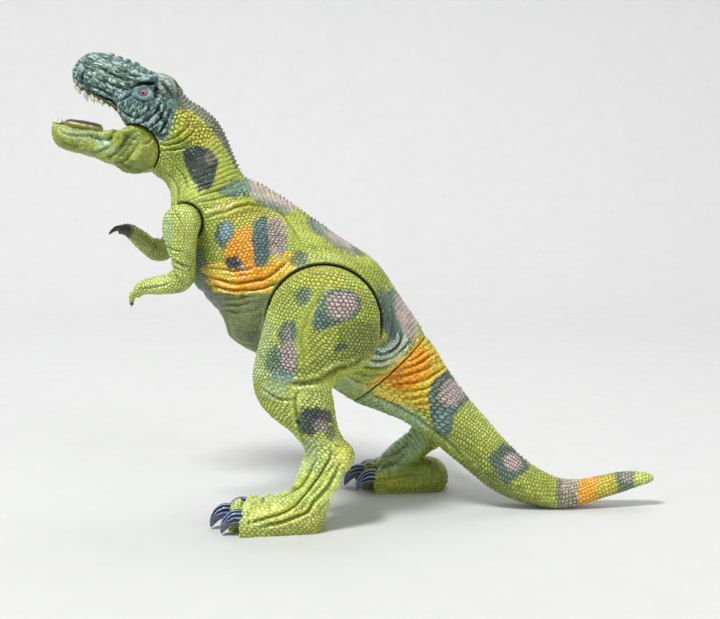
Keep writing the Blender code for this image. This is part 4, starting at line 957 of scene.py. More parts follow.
HEAD_FOLDS = [
    (1.6, 1.7, 0.7, [(130, 89), (136, 85), (143, 83.5), (150, 83), (157, 83)]),
    (0.7, 1.2, 0.5, [(134, 93), (136, 98), (141, 101), (147, 101), (152, 97)]),
    (1.1, 2.2, 0.4, [(155, 85), (157, 90), (156, 96), (152, 101)]),
    (0.7, 1.2, 0.6, [(118, 103), (124, 99), (130, 95), (134, 91)]),
    (0.8, 1.3, 0.7, [(160, 103), (157, 110), (152, 116), (146, 121), (138, 124)]),
    (0.8, 1.3, 0.7, [(166, 104), (163, 113), (158, 121), (151, 127), (144, 130)]),
    (0.7, 1.2, 0.6, [(150, 104), (148, 110), (143, 115), (136, 118)]),
    (0.7, 1.2, 0.6, [(170, 112), (167, 121), (163, 128), (158, 134)]),
    (0.7, 1.3, 0.6, [(92, 76), (100, 80), (110, 84), (120, 88), (128, 92)]),
    (0.6, 1.2, 0.6, [(86, 84), (96, 88), (106, 92), (116, 97)]),
    (0.6, 1.2, 0.6, [(98, 68), (108, 72), (118, 77), (128, 81), (136, 83)]),
    (0.6, 1.2, 0.6, [(90, 66), (84, 72), (82, 80), (84, 88)]),
    (0.5, 1.1, 0.6, [(112, 66), (122, 71), (132, 75), (142, 79)]),
    (0.7, 1.4, 0.5, [(118, 105), (124, 112), (132, 117), (140, 119)]),
    (1.0, 1.8, 0.4, [(155, 79), (162, 84), (168, 90), (172, 97)]),
    (1.4, 1.5, 0.3, [(172, 79), (175, 86), (178, 93), (178, 100)]),
]
BODY_SWELLINGS = [
    (1.6, (236, 208, 34, 9, -14)), (1.2, (214, 236, 15, 22, 0)), (1.0, (262, 238, 26, 26, 20)),
    (1.0, (240, 322, 20, 26, 20)), (1.0, (196, 160, 16, 22, 20)), (0.9, (216, 290, 16, 10, 20)),
    (0.9, (395, 330, 12, 24, 20)), (1.0, (330, 250, 34, 8, 35)), (0.8, (184, 118, 13, 10, -20)),
]
HEAD_SWELLINGS = [
    (1.3, (151, 121, 17, 17, 0)), (1.5, (163, 133, 7, 5, 30)), (1.2, (143, 80, 14, 4, 2)),
    (0.9, (104, 66, 18, 6, 15)), (1.1, (90, 93, 12, 5, 35)), (0.8, (126, 106, 9, 12, 0)),
    (1.2, (164, 84, 9, 8, 30)), (0.9, (122, 84, 14, 6, 25)),
]
BODY_RIBS = [
    (0.95, 4.6, 68, (210, 172, 32, 20, -12)), (0.65, 4.6, 70, (214, 190, 34, 9, -8)),
    (0.75, 3.8, -25, (270, 197, 36, 10, 27)), (0.75, 3.8, -35, (345, 243, 40, 9, 34)),
    (0.70, 4.2, 40, (402, 312, 13, 34, -25)), (0.40, 5.0, -15, (302, 228, 26, 12, 35)),
    (0.55, 4.4, 55, (220, 150, 18, 16, 40)), (0.60, 3.8, 50, (196, 110, 24, 7, 40)),
    (0.60, 4.0, 78, (345, 382, 30, 10, 25)),
]
BACK_LINE = [(176, 84), (190, 101), (204, 108), (216, 121), (226, 139), (234, 160), (239, 175), (250, 180),
             (266, 187), (286, 199), (302, 210), (315, 219), (328, 232), (352, 243), (368, 255), (382, 265),
             (393, 281), (400, 296), (411, 312), (421, 331)]
SNOUT_LINE = [(84, 58), (95, 53), (107, 55), (121, 60), (131, 64), (138, 69), (151, 76)]

BODY_PAINT = [
    (PALE_GREEN, 0.5, (184, 192, 22, 16, 0)), (PALE_GREEN, 0.2, (300, 250, 60, 22, 32)),
    (LEAF, 0.6, (184, 160, 14, 22, 0)), (YELLOW, 0.25, (200, 126, 24, 20, 30)),
    (YELLOW, 0.25, (250, 215, 40, 14, 10)), (LEAF, 0.5, (205, 240, 12, 24, 0)),
    (BELLY, 0.9, [(186, 288), (300, 296), (330, 360), (300, 380), (236, 356), (200, 310)]),
    (TEAL, 0.75, [(190, 250), (203, 246), (208, 270), (214, 288), (222, 300), (206, 300), (192, 284)]),
    (GREY, 0.6, (212, 300, 16, 7, 25)),
    (YELLOW, 0.9, [(200, 268), (224, 262), (262, 262), (292, 250), (300, 258), (292, 276), (270, 290),
                   (236, 295), (210, 286)]),
    (ORANGE, 1.0, [(233, 232), (247, 226), (256, 238), (262, 272), (270, 290), (248, 290), (236, 276),
                   (226, 262), (225, 248)]),
    (ORANGE, 0.7, (266, 275, 26, 8, -28)),
    (ORANGE, 0.6, (232, 285, 24, 6, 8)),
    (TEAL, 0.9, (224, 234, 8, 15, 12)), (BLUE, 0.8, (226, 230, 5, 10, 12)), (BLUE, 0.7, (260, 240, 7, 18, 0)),
    (DEEP_TEAL * 0.6, 0.97, (233, 263, 10, 7, 25)), (BLUE, 0.5, (242, 268, 2.5, 3, 0)),
    (LILAC, 0.95, (275, 238, 13, 21, 0)),
    (TEAL, 0.9, [(254, 220), (266, 217), (269, 240), (268, 262), (262, 270), (254, 262), (252, 240)]),
    (TEAL, 0.7, (299, 259, 9, 8, 0)),
    (DEEP_TEAL * 0.45, 0.97,
     [(182, 148), (197, 145), (212, 151), (219, 162), (216, 176), (212, 188), (200, 191), (192, 180),
      (184, 165)]),
    (LILAC, 0.35, (211, 157, 6, 7, 30)),
    (TEAL, 0.8, [(216, 192), (232, 180), (246, 178), (258, 184), (250, 196), (232, 198)]),
    (LILAC * 0.82, 0.9, [(248, 182), (262, 182), (282, 194), (298, 206), (292, 212), (270, 206), (252, 198)]),
    (TEAL, 0.6, (272, 206, 20, 5, 25)),
    (TEAL, 0.85, (318, 226, 12, 8, 30)), (GREY, 0.9, (336, 238, 26, 8, 34)),
    (LILAC, 0.6, (340, 240, 16, 4, 32)), (DEEP_TEAL, 0.6, (360, 250, 9, 5, 30)),
    (TEAL, 0.9, (396, 316, 17, 30, -22)), (LILAC, 0.9, (406, 318, 9, 24, -24)),
    (DEEP_TEAL, 0.5, (390, 330, 5, 14, -20)),
    (TEAL, 0.75, (386, 350, 17, 8, -35)), (MINT, 0.7, (388, 347, 11, 3, -42)),
    (MINT, 0.6, (381, 355, 10, 2, -25)),
    (YELLOW, 0.8, [(360, 388), (392, 366), (424, 334), (432, 340), (372, 398)]),
    (ORANGE, 0.8, [(372, 386), (398, 364), (424, 338), (428, 344), (382, 390)]),
    (MINT, 0.5, (345, 384, 30, 8, 25)),
]
# How the rows of scales climb, in mm along the figure
ROW_PLACES = (-200, -78, -52, 300)
ROW_RISES = (-59.9, -8.7, -2.6, 15.0)
NAPE = [(170, 78), (196, 96), (216, 116), (230, 140), (240, 165), (236, 170), (226, 148), (208, 126),
        (190, 110), (172, 108)]
HEAD_PAINT = [
    (BLUE, 0.75, (143, 94, 10, 6.5, 12)), (BLUE, 0.55, (121, 112, 5, 11, -20)),
    (BLUE, 0.3, (128, 97, 12, 5, 20)),
    # The INK ovals are painted shade: in the recess behind the eye, in the crease under the brow and beside the
    # jaw's joint
    (INK, 0.85, (157, 91, 4, 7, 15)), (INK, 0.95, (143, 84.8, 12, 2.2, -6)),
    (INK, 0.55, (162, 133, 7, 4, -20)),
    (DEEP_TEAL, 0.5, (152, 118, 16, 14, 0)), (IVORY, 0.5, (81, 90, 4, 11, -35)),
    (GREY, 0.7, (167, 88, 9, 13, -35)), (MINT, 0.25, (108, 74, 22, 9, 20)),
]


def trunk_solids():
    """The overlapping solids that melt into the head, neck and trunk."""
    rows = spread(BODY_SECTIONS, 9)
    solids = [tube(section_rings(rows, 0, HALF_WIDTH, 1, BODY_TAPER, 96)),
              turned(JAW_PIVOT, SIDE,
                     [(-JAW_CORE_WIDTH / 2, JAW_CORE_RADIUS), (JAW_CORE_WIDTH / 2, JAW_CORE_RADIUS)])]
    for side in (-1, 1):
        rim = THIGH_DISC_RADIUS + 0.0005
        solids.append(turned(HIP, SIDE * side, [(0.008, rim + 0.0052), (HALF_WIDTH - 0.006, rim + 0.0052),
                                                (HALF_WIDTH - 0.0015, rim + 0.0026),
                                                (HALF_WIDTH, rim + 0.0016)], 128))
        middle = side_point(-0.342, 0.930) + SIDE * side * 0.40 * HALF_WIDTH
        length, thick = 0.046 * FIGURE_LENGTH, 0.09 * HALF_WIDTH
        solids.append(turned(middle, (1, 0, -0.30), [(-length, thick * 0.3), (-length * 0.6, thick),
                                                    (length * 0.4, thick * 1.2), (length * 0.8, thick * 0.9),
                                                    (length, thick * 0.3)], 24))
    return solids


def raise_head(height, points, place, head, nape):
    """Adds the head's furrows, ridges and eye sockets to a relief. Gives what its paint needs too."""
    aside = np.abs(points[:, 1])
    cheek = step(-3, 3, within(place, CHEEK))
    head_raised = (1 - cheek) * puckers(points, 2.3 * MM, (0.90, 0, -0.43), 8) + cheek * puckers(points,
                                                                                                 2.1 * MM, (0.45, 0, 0.89), 9)
    face = oval(place, (143, 93, 9, 6.5, 10))
    calm = step(0.75, 1.4, face) * (1 - 0.6 * nape)
    height += head * calm * (1.10 * head_raised - 0.55) * MM
    height += head * 0.12 * MM * layered(points, 1.2 * MM, 31)
    head_deep = folds(place, HEAD_FOLDS)[0]
    height += head * (head_deep + swellings(place, HEAD_SWELLINGS))
    snout, snout_at = line_fields(place, SNOUT_LINE)
    bumps = np.maximum(np.sin(2 * math.pi * snout_at * SNOUT_TEETH), 0) ** 0.7 * step(0.28, 0.40, snout_at)
    height += head * 1.35 * MM * bumps * step(4.0, 1.0, snout) * step(6.5 * MM, 2.5 * MM, aside)
    # eye socket
    height -= head * 1.0 * MM * step(1.0, 0.45, oval(place, (143.2, 93, 5.6, 4.0, 5)))
    crown = step(-2, 2, within(place,
                               [(152, 72), (166, 72), (175, 82), (175, 92), (168, 98), (160, 92), (154, 82)]))
    height += 1.6 * MM * crown * step(16 * MM, 6 * MM, aside)
    height += head * 0.5 * MM * np.exp(-((oval(place, (143.2, 93, 6.2, 4.6, 5)) - 1.1) / 0.18) ** 2)
    return height, head_raised, calm, head_deep


def clear_of_joints(height, points, place, head):
    """A relief kept off the limbs' paths and all rims, and the gaps to the rims of the pockets."""
    aside = np.abs(points[:, 1])
    level = np.clip(height, -1.6 * MM, 1.7 * MM)
    near_leg = step(40, 46, from_axis(points, HIP) / MM)
    level = np.where(level > 0, level * (0.30 + 0.70 * near_leg), level)
    near_arm = step(38, 30, from_axis(points, SHOULDER) / MM) * step(240, 225, place[:, 0])
    level = np.where(level > 0, level * (1 - 0.55 * near_arm * (1 - head)), level)
    rims = [np.where(aside > floor - 2 * MM,
                     from_axis(points, centre) - radius - POCKET_ROOM, 1)
            for centre, radius, floor in ((HIP, THIGH_DISC_RADIUS, HIP_FLOOR),
                                          (SHOULDER, SHOULDER_DISC_RADIUS, SHOULDER_FLOOR))]
    for from_rim in rims:
        level *= step(0.6, 2.2, np.abs(from_rim) / MM)
    seam = step(0.5, 2.5, np.abs((points - SEAM_CENTRE) @ TAIL_AXIS) / MM)
    level *= 0.25 + 0.75 * seam
    end = step(-0.4, 0.2, (points - SEAM_CENTRE) @ TAIL_AXIS / MM)
    level *= 1 - end
    ear = from_axis(points, JAW_PIVOT)
    level = np.where((ear < JAW_DISC_RADIUS + 0.0016) & (aside < JAW_CORE_WIDTH / 2 + 0.0003), 0, level)
    return level, rims


def head_colours(points, place, head_raised, calm, head_deep):
    """The head's teal paint, with painted shade in its furrows and folds and painted highlights on its ridges."""
    teal = painted(place, points, HEAD_TEAL, HEAD_PAINT, 71)
    teal = teal * (1 + 0.16 * layered(points, 5 * MM, 72))[:, None]
    ridge = head_raised * calm + (1 - calm) * 0.8
    # painted shade in the furrows
    teal = mixed(teal, DEEP_TEAL * 0.30, 0.90 * np.clip(1.1 - ridge * 1.5, 0, 1))
    # painted highlight on the ridges
    ridge_highlight = step(0.74, 1.0, head_raised * (1 + 0.35 * noise(points, 3 * MM, 75))) * calm
    teal = mixed(teal, HEAD_HIGHLIGHT, 0.60 * ridge_highlight)
    # painted shade in the deep folds
    head_fold_shade = step(0.0, -0.8, head_deep / MM)
    teal = mixed(teal, INK, 0.75 * head_fold_shade)
    return teal


def body_skins():
    """Both half shells with their scales, folds and paint."""
    whole = melted("body_skin", trunk_solids(), BODY_VOXEL, 4)
    place = photo_place(points_of(whole))
    refined(whole, step(-3, -1, within(place, HEAD_OUTLINE)))
    points, normals = points_of(whole), normals_of(whole)
    place = photo_place(points)
    aside = np.abs(points[:, 1])
    head = step(-2, 3, within(place, HEAD_OUTLINE) + 1.5 * noise(points, 3 * MM, 4))
    nape = step(-3, 3, within(place, NAPE))
    back, back_at = line_fields(place, BACK_LINE)
    on_back = step(12, 3, back)
    belly = step(-4, 6, within(place, [(180, 290), (300, 296), (340, 372), (300, 390), (230, 360)]))
    flat = unrolled(points, middle_line(BODY_SECTIONS))[0]
    ahead, up = swayed(points, flat[:, 0], flat[:, 1], seed=5)
    down = np.interp(ahead, ROW_PLACES, ROW_RISES) - up
    found = net(ahead / 2.3, down / 1.6, 5, 0.21)
    random = found[2]
    warty = step(1.15, 0.85, oval(place, (197, 128, 30, 20, 20)) + 0.2 * layered(points, 5 * MM, 6))
    belly = belly * (1 - warty)
    deep, ribbed, plain = wrinkled(place, points, BODY_FOLDS, BODY_RIBS, 1.6, 0, 0.62)
    cover, raised = laid(((1 - warty - belly, found, 0.60 - 0.22 * on_back),
                          (belly, net(ahead / 1.6, down / 1.4, 6), 0.34),
                          (warty, net(ahead / 2.6, down / 2.3, 7, 0.34), 0.88)))
    height = (cover - SUNK) * MM * (1 - head) * plain
    height, head_raised, calm, head_deep = raise_head(height, points, place, head, nape)
    # neck and trunk
    neck = step(238, 205, place[:, 0] + 0.3 * (place[:, 1] - 150)) * (1 - head)
    height += neck * 0.20 * MM * layered(points, 2.4 * MM, 43)
    height += (1 - head) * 0.10 * MM * layered(points, 1.1 * MM, 44)
    height += (1 - head) * (deep + swellings(place, BODY_SWELLINGS) + ribbed)
    teeth = np.maximum(np.sin(2 * math.pi * back_at * BACK_TEETH + 0.7 * noise(points, 4 * MM, 47)), -0.3)
    height += (1 - 0.4 * head) * 0.62 * MM * teeth * step(5.0 * MM, 1.0 * MM, aside) * step(9, 2, back)
    height += (1 - head) * 0.45 * MM * step(5 * MM, 1.5 * MM, aside) * step(10, 4, back)
    level, rims = clear_of_joints(height, points, place, head)
    moved = points + normals * level[:, None]
    reach = from_axis(points, HIP)
    wide = np.where(reach < TRUNK_REACH, TRUNK_LIMIT, CHEST_LIMIT)
    moved[:, 1] = np.clip(moved[:, 1], -wide, wide)
    put_points(whole, moved)
    # paint
    colours = painted(place, points, GREEN, BODY_PAINT, 51, random)
    # painted shade: downward-facing skin near the middle turned darker green
    underside_shade = step(0.15, -0.75, normals[:, 2]) * step(8 * MM, 3 * MM, aside)
    colours = mixed(colours, LEAF, 0.5 * underside_shade)
    # painted shade in the folds and ribs
    fold_shade = step(0.05, -0.70, (deep + 0.5 * ribbed) / MM)
    colours = mixed(colours, colours * 0.35, 0.75 * fold_shade * (1 - head))
    # painted highlight on the raised lips of the folds behind the hip
    lips = step(0.15, 0.6, deep / MM) * step(1.1, 0.8, oval(place, (388, 350, 25, 15, -38)))
    colours = mixed(colours, FOLD_LIP_HIGHLIGHT, 0.75 * lips)
    cover = step(-2, 2, within(place, NAPE) + 2 * layered(points, 4 * MM, 53))
    colours = mixed(colours, GREY * 0.75, 0.85 * cover * (1 - head))
    colours = mixed(colours, DEEP_TEAL, 0.45 * cover * step(6, 1, back) * (1 - head))
    colours = painted_shade_and_highlight(colours, points, 1 - plain * (1 - raised), random, 61)
    colours = mixed(colours, head_colours(points, place, head_raised, calm, head_deep), head)
    # painted shade in the gaps round the hip and shoulder pockets
    for from_rim in rims:
        colours = mixed(colours, colours * 0.10, 0.9 * step(1.2, 0.5, from_rim / MM))
    brush(whole, np.clip(colours, 0, 1))
    dressed(whole, SKIN)
    other = whole.copy()
    other.data = whole.data.copy()
    bpy.context.scene.collection.objects.link(other)
    for part, side, name in ((whole, -1, "left"), (other, 1, "right")):
        part.name = "body_skin_" + name
        hollowed(part, side)
        crisp(dressed(part, SKIN))
        seated(part, "body", "body_skin", "body_shell_" + name)


# Legs

LEFT_LEG_FOLDS = [
    (0.4, 2.4, 0.3, [(327, 279), (322, 294), (315, 304), (309, 314), (304, 326), (301, 340), (304, 356),
                     (304, 371)]),
    (1.5, 2.0, 0.8, [(290, 383), (301, 384), (320, 379), (335, 370), (350, 366), (364, 358)]),
    (0.8, 1.8, 0.6, [(299, 388), (296, 398), (296, 408), (299, 427), (305, 442)]),
    (0.6, 1.5, 0.5, [(262, 388), (274, 396), (288, 400), (298, 398)]),
    (0.6, 1.4, 0.5, [(331, 440), (336, 446), (346, 447)]),
    (1.3, 1.5, 1.0, [(331, 447), (330, 456), (321, 473), (306, 493), (291, 509), (263, 519), (246, 523)]),
    (1.3, 1.5, 1.0, [(340, 462), (329, 484), (314, 501), (305, 513), (280, 522), (258, 527)]),
    (1.0, 1.4, 0.9, [(318, 456), (313, 466), (305, 481), (291, 493), (276, 497)]),
    (0.9, 1.4, 0.8, [(347, 470), (338, 488), (326, 503), (318, 514)]),
    (0.9, 1.5, 0.5, [(240, 492), (243, 500), (241, 508)]),
    (0.8, 1.4, 0.5, [(262, 489), (264, 496), (262, 504)]),
    (0.6, 1.3, 0.5, [(247, 512), (249, 521), (247, 532)]),
]
LEFT_LEG_SWELLINGS = [
    (1.3, (345, 312, 34, 36, 20)), (1.3, (289, 340, 20, 44, 12)), (1.4, (317, 403, 15, 24, -15)),
    (1.5, (345, 457, 9, 13, 0)), (0.9, (278, 386, 18, 14, 30)), (1.0, (252, 498, 14, 8, 0)),
    (0.8, (302, 432, 10, 18, -20)), (0.8, (330, 492, 10, 18, 30)), (0.9, (305, 522, 16, 8, 0)),
]
LEFT_LEG_RIBS = [
    (0.60, 4.6, 75, (330, 487, 13, 22, 25)), (0.45, 4.6, 62, (300, 478, 14, 22, 30)),
    (0.40, 4.6, 85, (340, 457, 9, 13, 0)),
    (0.35, 7.0, 5, (262, 506, 22, 12, 10)), (0.45, 5.0, 70, (286, 388, 26, 14, 10)),
]
THIGH_PAINT = [
    (PALE_GREEN, 0.5, (268, 352, 14, 42, 8)), (MINT, 0.45, (262, 350, 9, 34, 8)),
    (LEAF, 0.35, (350, 350, 30, 16, -20)),
    (YELLOW, 0.22, (322, 278, 26, 10, 0)), (OLIVE, 0.5, (358, 340, 20, 20, 0)),
    (OLIVE, 0.3, (326, 364, 34, 8, -18)),
    (TEAL, 0.5, (288, 384, 24, 9, 10)),
    (TEAL, 0.75, (302.5, 296, 7.5, 9, 20)),
    (TEAL, 0.8, [(318, 300), (328, 290), (352, 290), (361, 300), (359, 312), (346, 322), (330, 328),
                 (314, 331), (314, 314)]),
    (LILAC, 0.95, (342, 305, 16, 13.5, -12)), (TEAL, 0.55, (320, 321, 8, 9, 20)),
    (TEAL, 0.85, (288, 334, 9, 15, 8)), (TEAL, 0.8, (281, 363, 16, 19, 0)),
    (BLUE, 0.5, (283, 376, 14, 6, 10)),
    (LILAC, 0.95, (289, 356, 8.5, 16, 0)), (LILAC, 0.5, (288, 334, 4.5, 9, 8)),
    (DEEP_TEAL, 0.75, (340, 347, 7, 4, -25)),
]
SHANK_PAINT = [
    (PALE_GREEN, 0.35, (310, 430, 50, 50, 0)), (PALE_GREEN, 0.6, (314, 398, 20, 24, 0)),
    (MINT, 0.5, (274, 388, 14, 12, 20)), (PALE_GREEN, 0.85, (266, 506, 60, 26, 0)),
    (PALE_GREEN, 0.8, (322, 480, 34, 40, 30)), (YELLOW, 0.15, (290, 516, 40, 12, 0)),
    (MINT, 0.5, (308, 446, 12, 10, 0)), (MINT, 0.4, (312, 462, 8, 12, 20)),
    (DEEP_TEAL, 0.95, (309, 421, 12, 15, -8)), (DEEP_TEAL, 0.9, (322, 416, 12, 8, 30)),
    (DEEP_TEAL, 0.6, (330, 432, 6, 8, 0)),
    (LILAC, 0.7, (321, 426, 7.5, 7, 0)), (YELLOW, 0.3, (343, 456, 8, 12, 0)),
]
RIGHT_LEG_FOLDS = [
    (0.4, 2.4, 0.3, [(327, 279), (322, 294), (315, 304), (309, 314), (306, 326)]),
    (0.7, 1.6, 0.6, [(372, 470), (384, 466), (398, 460), (408, 450)]),
    (0.7, 1.5, 0.6, [(366, 482), (384, 479), (404, 476), (424, 474)]),
    (0.7, 1.5, 0.5, [(380, 458), (396, 452), (410, 440)]),
    (0.6, 1.4, 0.5, [(360, 404), (380, 412), (398, 424), (412, 436)]),
]
RIGHT_LEG_SWELLINGS = [(1.3, (345, 312, 34, 36, 20)), (1.2, (350, 370, 24, 18, 30)),
                       (1.2, (440, 448, 10, 12, 0)),
                       (0.8, (372, 476, 12, 8, 0))]
RIGHT_LEG_RIBS = [(0.7, 4.6, -35, (408, 448, 26, 16, -40)), (0.65, 4.8, 0, (405, 476, 40, 13, 0)),
                  (0.4, 4.4, -35, (380, 418, 26, 14, 40))]
RIGHT_SHANK_PAINT = [
    (LEAF, 0.4, (405, 476, 44, 14, 0)), (MINT * 1.12, 0.95, (402, 448, 30, 17, -42)),
    (TEAL, 0.25, (394, 458, 20, 4, -42)),
    (TEAL, 0.6, (372, 404, 26, 12, 35)), (YELLOW, 0.25, (385, 480, 22, 8, 0)),
]


def foot_solids(heel, plane):
    """Foot block and toes on the +Y side."""
    rings = []
    for place, height, width, sole in spread(FOOT_SECTIONS, 5):
        x = heel - FOOT_LENGTH * place
        rings.append(section(np.array((x, 0, FOOT_HEIGHT * height)), np.array((x, 0, FOOT_HEIGHT * sole)),
                             FOOT_WIDTH * width, FOOT_WIDTH * width, plane, 2.8, 0, 48))
    solids = [tube(rings)]
    for start, end, first, last in TOES:
        rows = np.stack((np.linspace(0, 1, 5), TOE_HEIGHTS, TOE_WIDTHS), 1)
        rings = []
        for share, height, width in spread(rows, 5):
            x = heel - FOOT_LENGTH * (start + (end - start) * share)
            y = plane + FOOT_WIDTH * (first + (last - first) * share)
            rings.append(section(np.array((x, 0, FOOT_HEIGHT * height)),
                                 np.array((x, 0, -FOOT_HEIGHT * 0.15)),
                                 FOOT_WIDTH * width, FOOT_WIDTH * width, y, 2.8, 0, 40))
        solids.append(tube(rings))
    return solids


def mirror(part):
    """Turns a part into its twin of the other side."""
    part.data.transform(Matrix.Diagonal((1, -1, 1, 1)))
    part.data.flip_normals()
    return part


def leg_skin(name, sign, sections, heel_share, lines, muscles, fields, shank_paint, seed):
    """One leg: thigh disc and hub, limb, foot and toes."""
    plane = LEG_INNER + LEG_THICKNESS * 0.37
    heel = heel_share * FIGURE_LENGTH
    hub_end = HIP_FLOOR - WALL - SEAT_GAP
    inner = HIP_FLOOR + SEAT_GAP
    disc = [(hub_end, HIP_HUB_RADIUS), (inner + 0.0002, HIP_HUB_RADIUS), (inner + 0.0002, THIGH_DISC_RADIUS),
            (LEG_INNER + LEG_THICKNESS * 0.12, THIGH_DISC_RADIUS),
            (LEG_INNER + LEG_THICKNESS * 0.28, THIGH_DISC_RADIUS * 0.975),
            (LEG_INNER + LEG_THICKNESS * 0.42, THIGH_DISC_RADIUS * 0.93),
            (LEG_INNER + LEG_THICKNESS * 0.56, THIGH_DISC_RADIUS * 0.86),
            (LEG_INNER + LEG_THICKNESS * 0.66, THIGH_DISC_RADIUS * 0.78)]
    solids = [tube(section_rings(spread(sections, 8), plane, LEG_THICKNESS, plane - LEG_INNER, 0, 80)),
              turned(HIP, SIDE, disc, 96), *foot_solids(heel, plane)]
    part = melted(name, solids, LIMB_VOXEL, 5)
    if sign < 0:
        mirror(part)
    points, normals = points_of(part), normals_of(part)
    fold = sign < 0
    place = photo_place(points, fold)
    thigh_place = photo_place(points)
    thigh = step(392, 372, thigh_place[:, 1]) if sign < 0 else step(0.062, 0.080, points[:, 2])
    line = middle_line(sections)
    ends = np.array([(heel - FOOT_LENGTH * at, FOOT_HEIGHT * high) for at,
                     high in ((0.35, 0.5), (0.95, 0.4))])
    flat = unrolled(points, np.concatenate((line, ends)))[0]
    ahead, up = swayed(points, flat[:, 0], flat[:, 1], broad=1.9, seed=seed)
    foot = step(0.026, 0.016, points[:, 2])
    scutes = step(0.050, 0.042, points[:, 2]) * (1 - foot)
    down = -up - 0.18 * ahead
    found = net(ahead / 2.4, down / 1.6, seed, 0.18)
    random = found[2]
    deep, ribbed, plain = wrinkled(place, points, lines, fields, 1.2, seed)
    cover, raised = laid(((1 - foot - scutes, found, 0.64),
                          (scutes, net(ahead / 3.0, down / 1.7, seed + 1, 0.20), 0.50),
                          (foot, net(ahead / 2.5, down / 1.55, seed + 2), 0.38)), 0.25)
    height = (cover - SUNK) * MM * plain + 0.08 * MM * layered(points, 1.1 * MM, seed + 31)
    height += deep + swellings(place, muscles) + ribbed
    level = np.clip(height, -1.5 * MM, 1.6 * MM)
    facing = normals[:, 1] * sign
    out = np.abs(points[:, 1]) - LEG_INNER
    free = step(0.6, 4.0, out / MM) * step(-0.75, -0.2, facing)
    sunk = np.clip(height - 0.55 * MM, -1.1 * MM, 0) * step(0.070, 0.058, points[:, 2])
    level = free * level + (1 - free) * sunk
    rim = from_axis(points, HIP)
    level = np.where((rim > THIGH_DISC_RADIUS - 0.0015) & (rim < THIGH_DISC_RADIUS + 0.0006)
                     & (out < 0.004) & (level > 0), level * 0.2, level)
    level *= step(0.0, 1.6, points[:, 2] / MM)
    put_points(part, points + normals * level[:, None])
    colours = painted(thigh_place, points, GREEN, THIGH_PAINT, seed + 51, random)
    shank = painted(place, points, GREEN, shank_paint, seed + 52, random)
    colours = mixed(shank, colours, thigh)
    # painted shade in the folds and ribs
    colours = mixed(colours, colours * 0.32, 0.75 * step(0.05, -0.75, (deep + 0.5 * ribbed) / MM))
    # painted shade on the side that faces the body
    inner_side_shade = step(0.2, 0.8, -facing)
    colours = mixed(colours, LEAF, 0.35 * inner_side_shade)
    colours = painted_shade_and_highlight(colours, points, 1 - plain * (1 - raised), random, seed + 61)
    brush(part, colours)
    dressed(part, SKIN)
    cut(part, block((-REACH, -REACH, -THROUGH), (REACH, REACH, 0.0)),
        turned(HIP, SIDE * sign,
               [(hub_end - 0.002, HIP_SCREW_HOLE), (hub_end + HIP_SCREW_REACH, HIP_SCREW_HOLE)], 24),
               inside=RAW)
    rims_shaded(part)
    crisp(dressed(part, SKIN), 50)
    return part, heel, plane


def claw_rings(x, y, z, length, radius):
    """A hooked claw that grows out of a toe's end."""
    rings = []
    rows = [(-0.25, 0.0, 1.0), (0.2, 0.0, 1.02), (0.52, -0.19, 0.84), (0.76, -0.58, 0.56),
            (0.86, -0.94, 0.16)]
    for share, drop, width in spread(rows, 5):
        centre = np.array((x - length * share, y, z + drop * radius * 2.3))
        tilt = np.array((-1, 0, -0.9 * max(share, 0)))
        rings.append(circle(centre, tilt, radius * max(width, 0.06), 28, SIDE))
    return rings


def claws(name, body, tips, length, radius, seed):
    """A set of dark claws with pale streaks."""
    part = made(name, *[tube(claw_rings(*tip, length, radius)) for tip in tips])
    more = part.modifiers.new("more", "SUBSURF")
    more.levels = more.render_levels = 1
    applied(part)
    points, normals = points_of(part), normals_of(part)
    streak = np.zeros(len(points))
    for x, y, z in tips:
        along = (x - points[:, 0]) / length
        hang = np.interp(along, (0.2, 0.52, 0.76, 0.86), (0, -0.19, -0.58, -0.94)) * radius * 2.3 + z
        round_it = np.arctan2(points[:, 2] - hang, points[:, 1] - y)
        lines = np.sin(round_it * 11 + 1.6
                       * noise(np.stack((along * 2.5, round_it, np.full(len(points), y / MM)), 1), 1, seed))
        streak = np.where(np.abs(points[:, 1] - y) < radius * 1.3, lines, streak)
    put_points(part, points + normals * (0.06 * MM * streak[:, None]))
    colours = mixed(np.tile(NAVY, (len(points), 1)), STEEL_BLUE * 1.7, 0.85 * step(0.35, 0.80, streak))
    brush(part, colours)
    dressed(part, CLAW)
    return seated(part, body, "limb_skin")


def legs():
    """Both legs with their toe claws."""
    for name, sign, sections, heel_share, lines, muscles, fields, shank, seed in (
            ("left", -1, LEFT_LEG, -0.054, LEFT_LEG_FOLDS, LEFT_LEG_SWELLINGS, LEFT_LEG_RIBS, SHANK_PAINT,
             101),
            ("right", 1, RIGHT_LEG, 0.158, RIGHT_LEG_FOLDS, RIGHT_LEG_SWELLINGS, RIGHT_LEG_RIBS,
             RIGHT_SHANK_PAINT, 201)):
        part, heel, plane = leg_skin("leg_skin_" + name, sign, sections, heel_share, lines, muscles, fields,
                                     shank, seed)
        seated(part, name + "_leg", "limb_skin", "leg_" + name)
        tips = [(heel - FOOT_LENGTH * toe[1], sign * (plane + FOOT_WIDTH * toe[3]), FOOT_HEIGHT * 0.56)
                for toe in TOES]
        claws("toe_claws_" + name, name + "_leg", tips, CLAW_LENGTH, CLAW_RADIUS, seed)


# Arms

LEFT_ARM_FOLDS = [
    (0.7, 1.3, 0.6, [(168, 256), (176, 262), (186, 266), (194, 266)]),
    (0.5, 1.2, 0.5, [(166, 246), (174, 250), (184, 252)]),
    (0.6, 1.2, 0.5, [(172, 270), (178, 278), (184, 288)]),
    (0.5, 1.2, 0.5, [(170, 206), (178, 216), (184, 230), (184, 244)]),
    (0.5, 1.1, 0.5, [(136, 290), (148, 288), (162, 286), (172, 282)]),
]


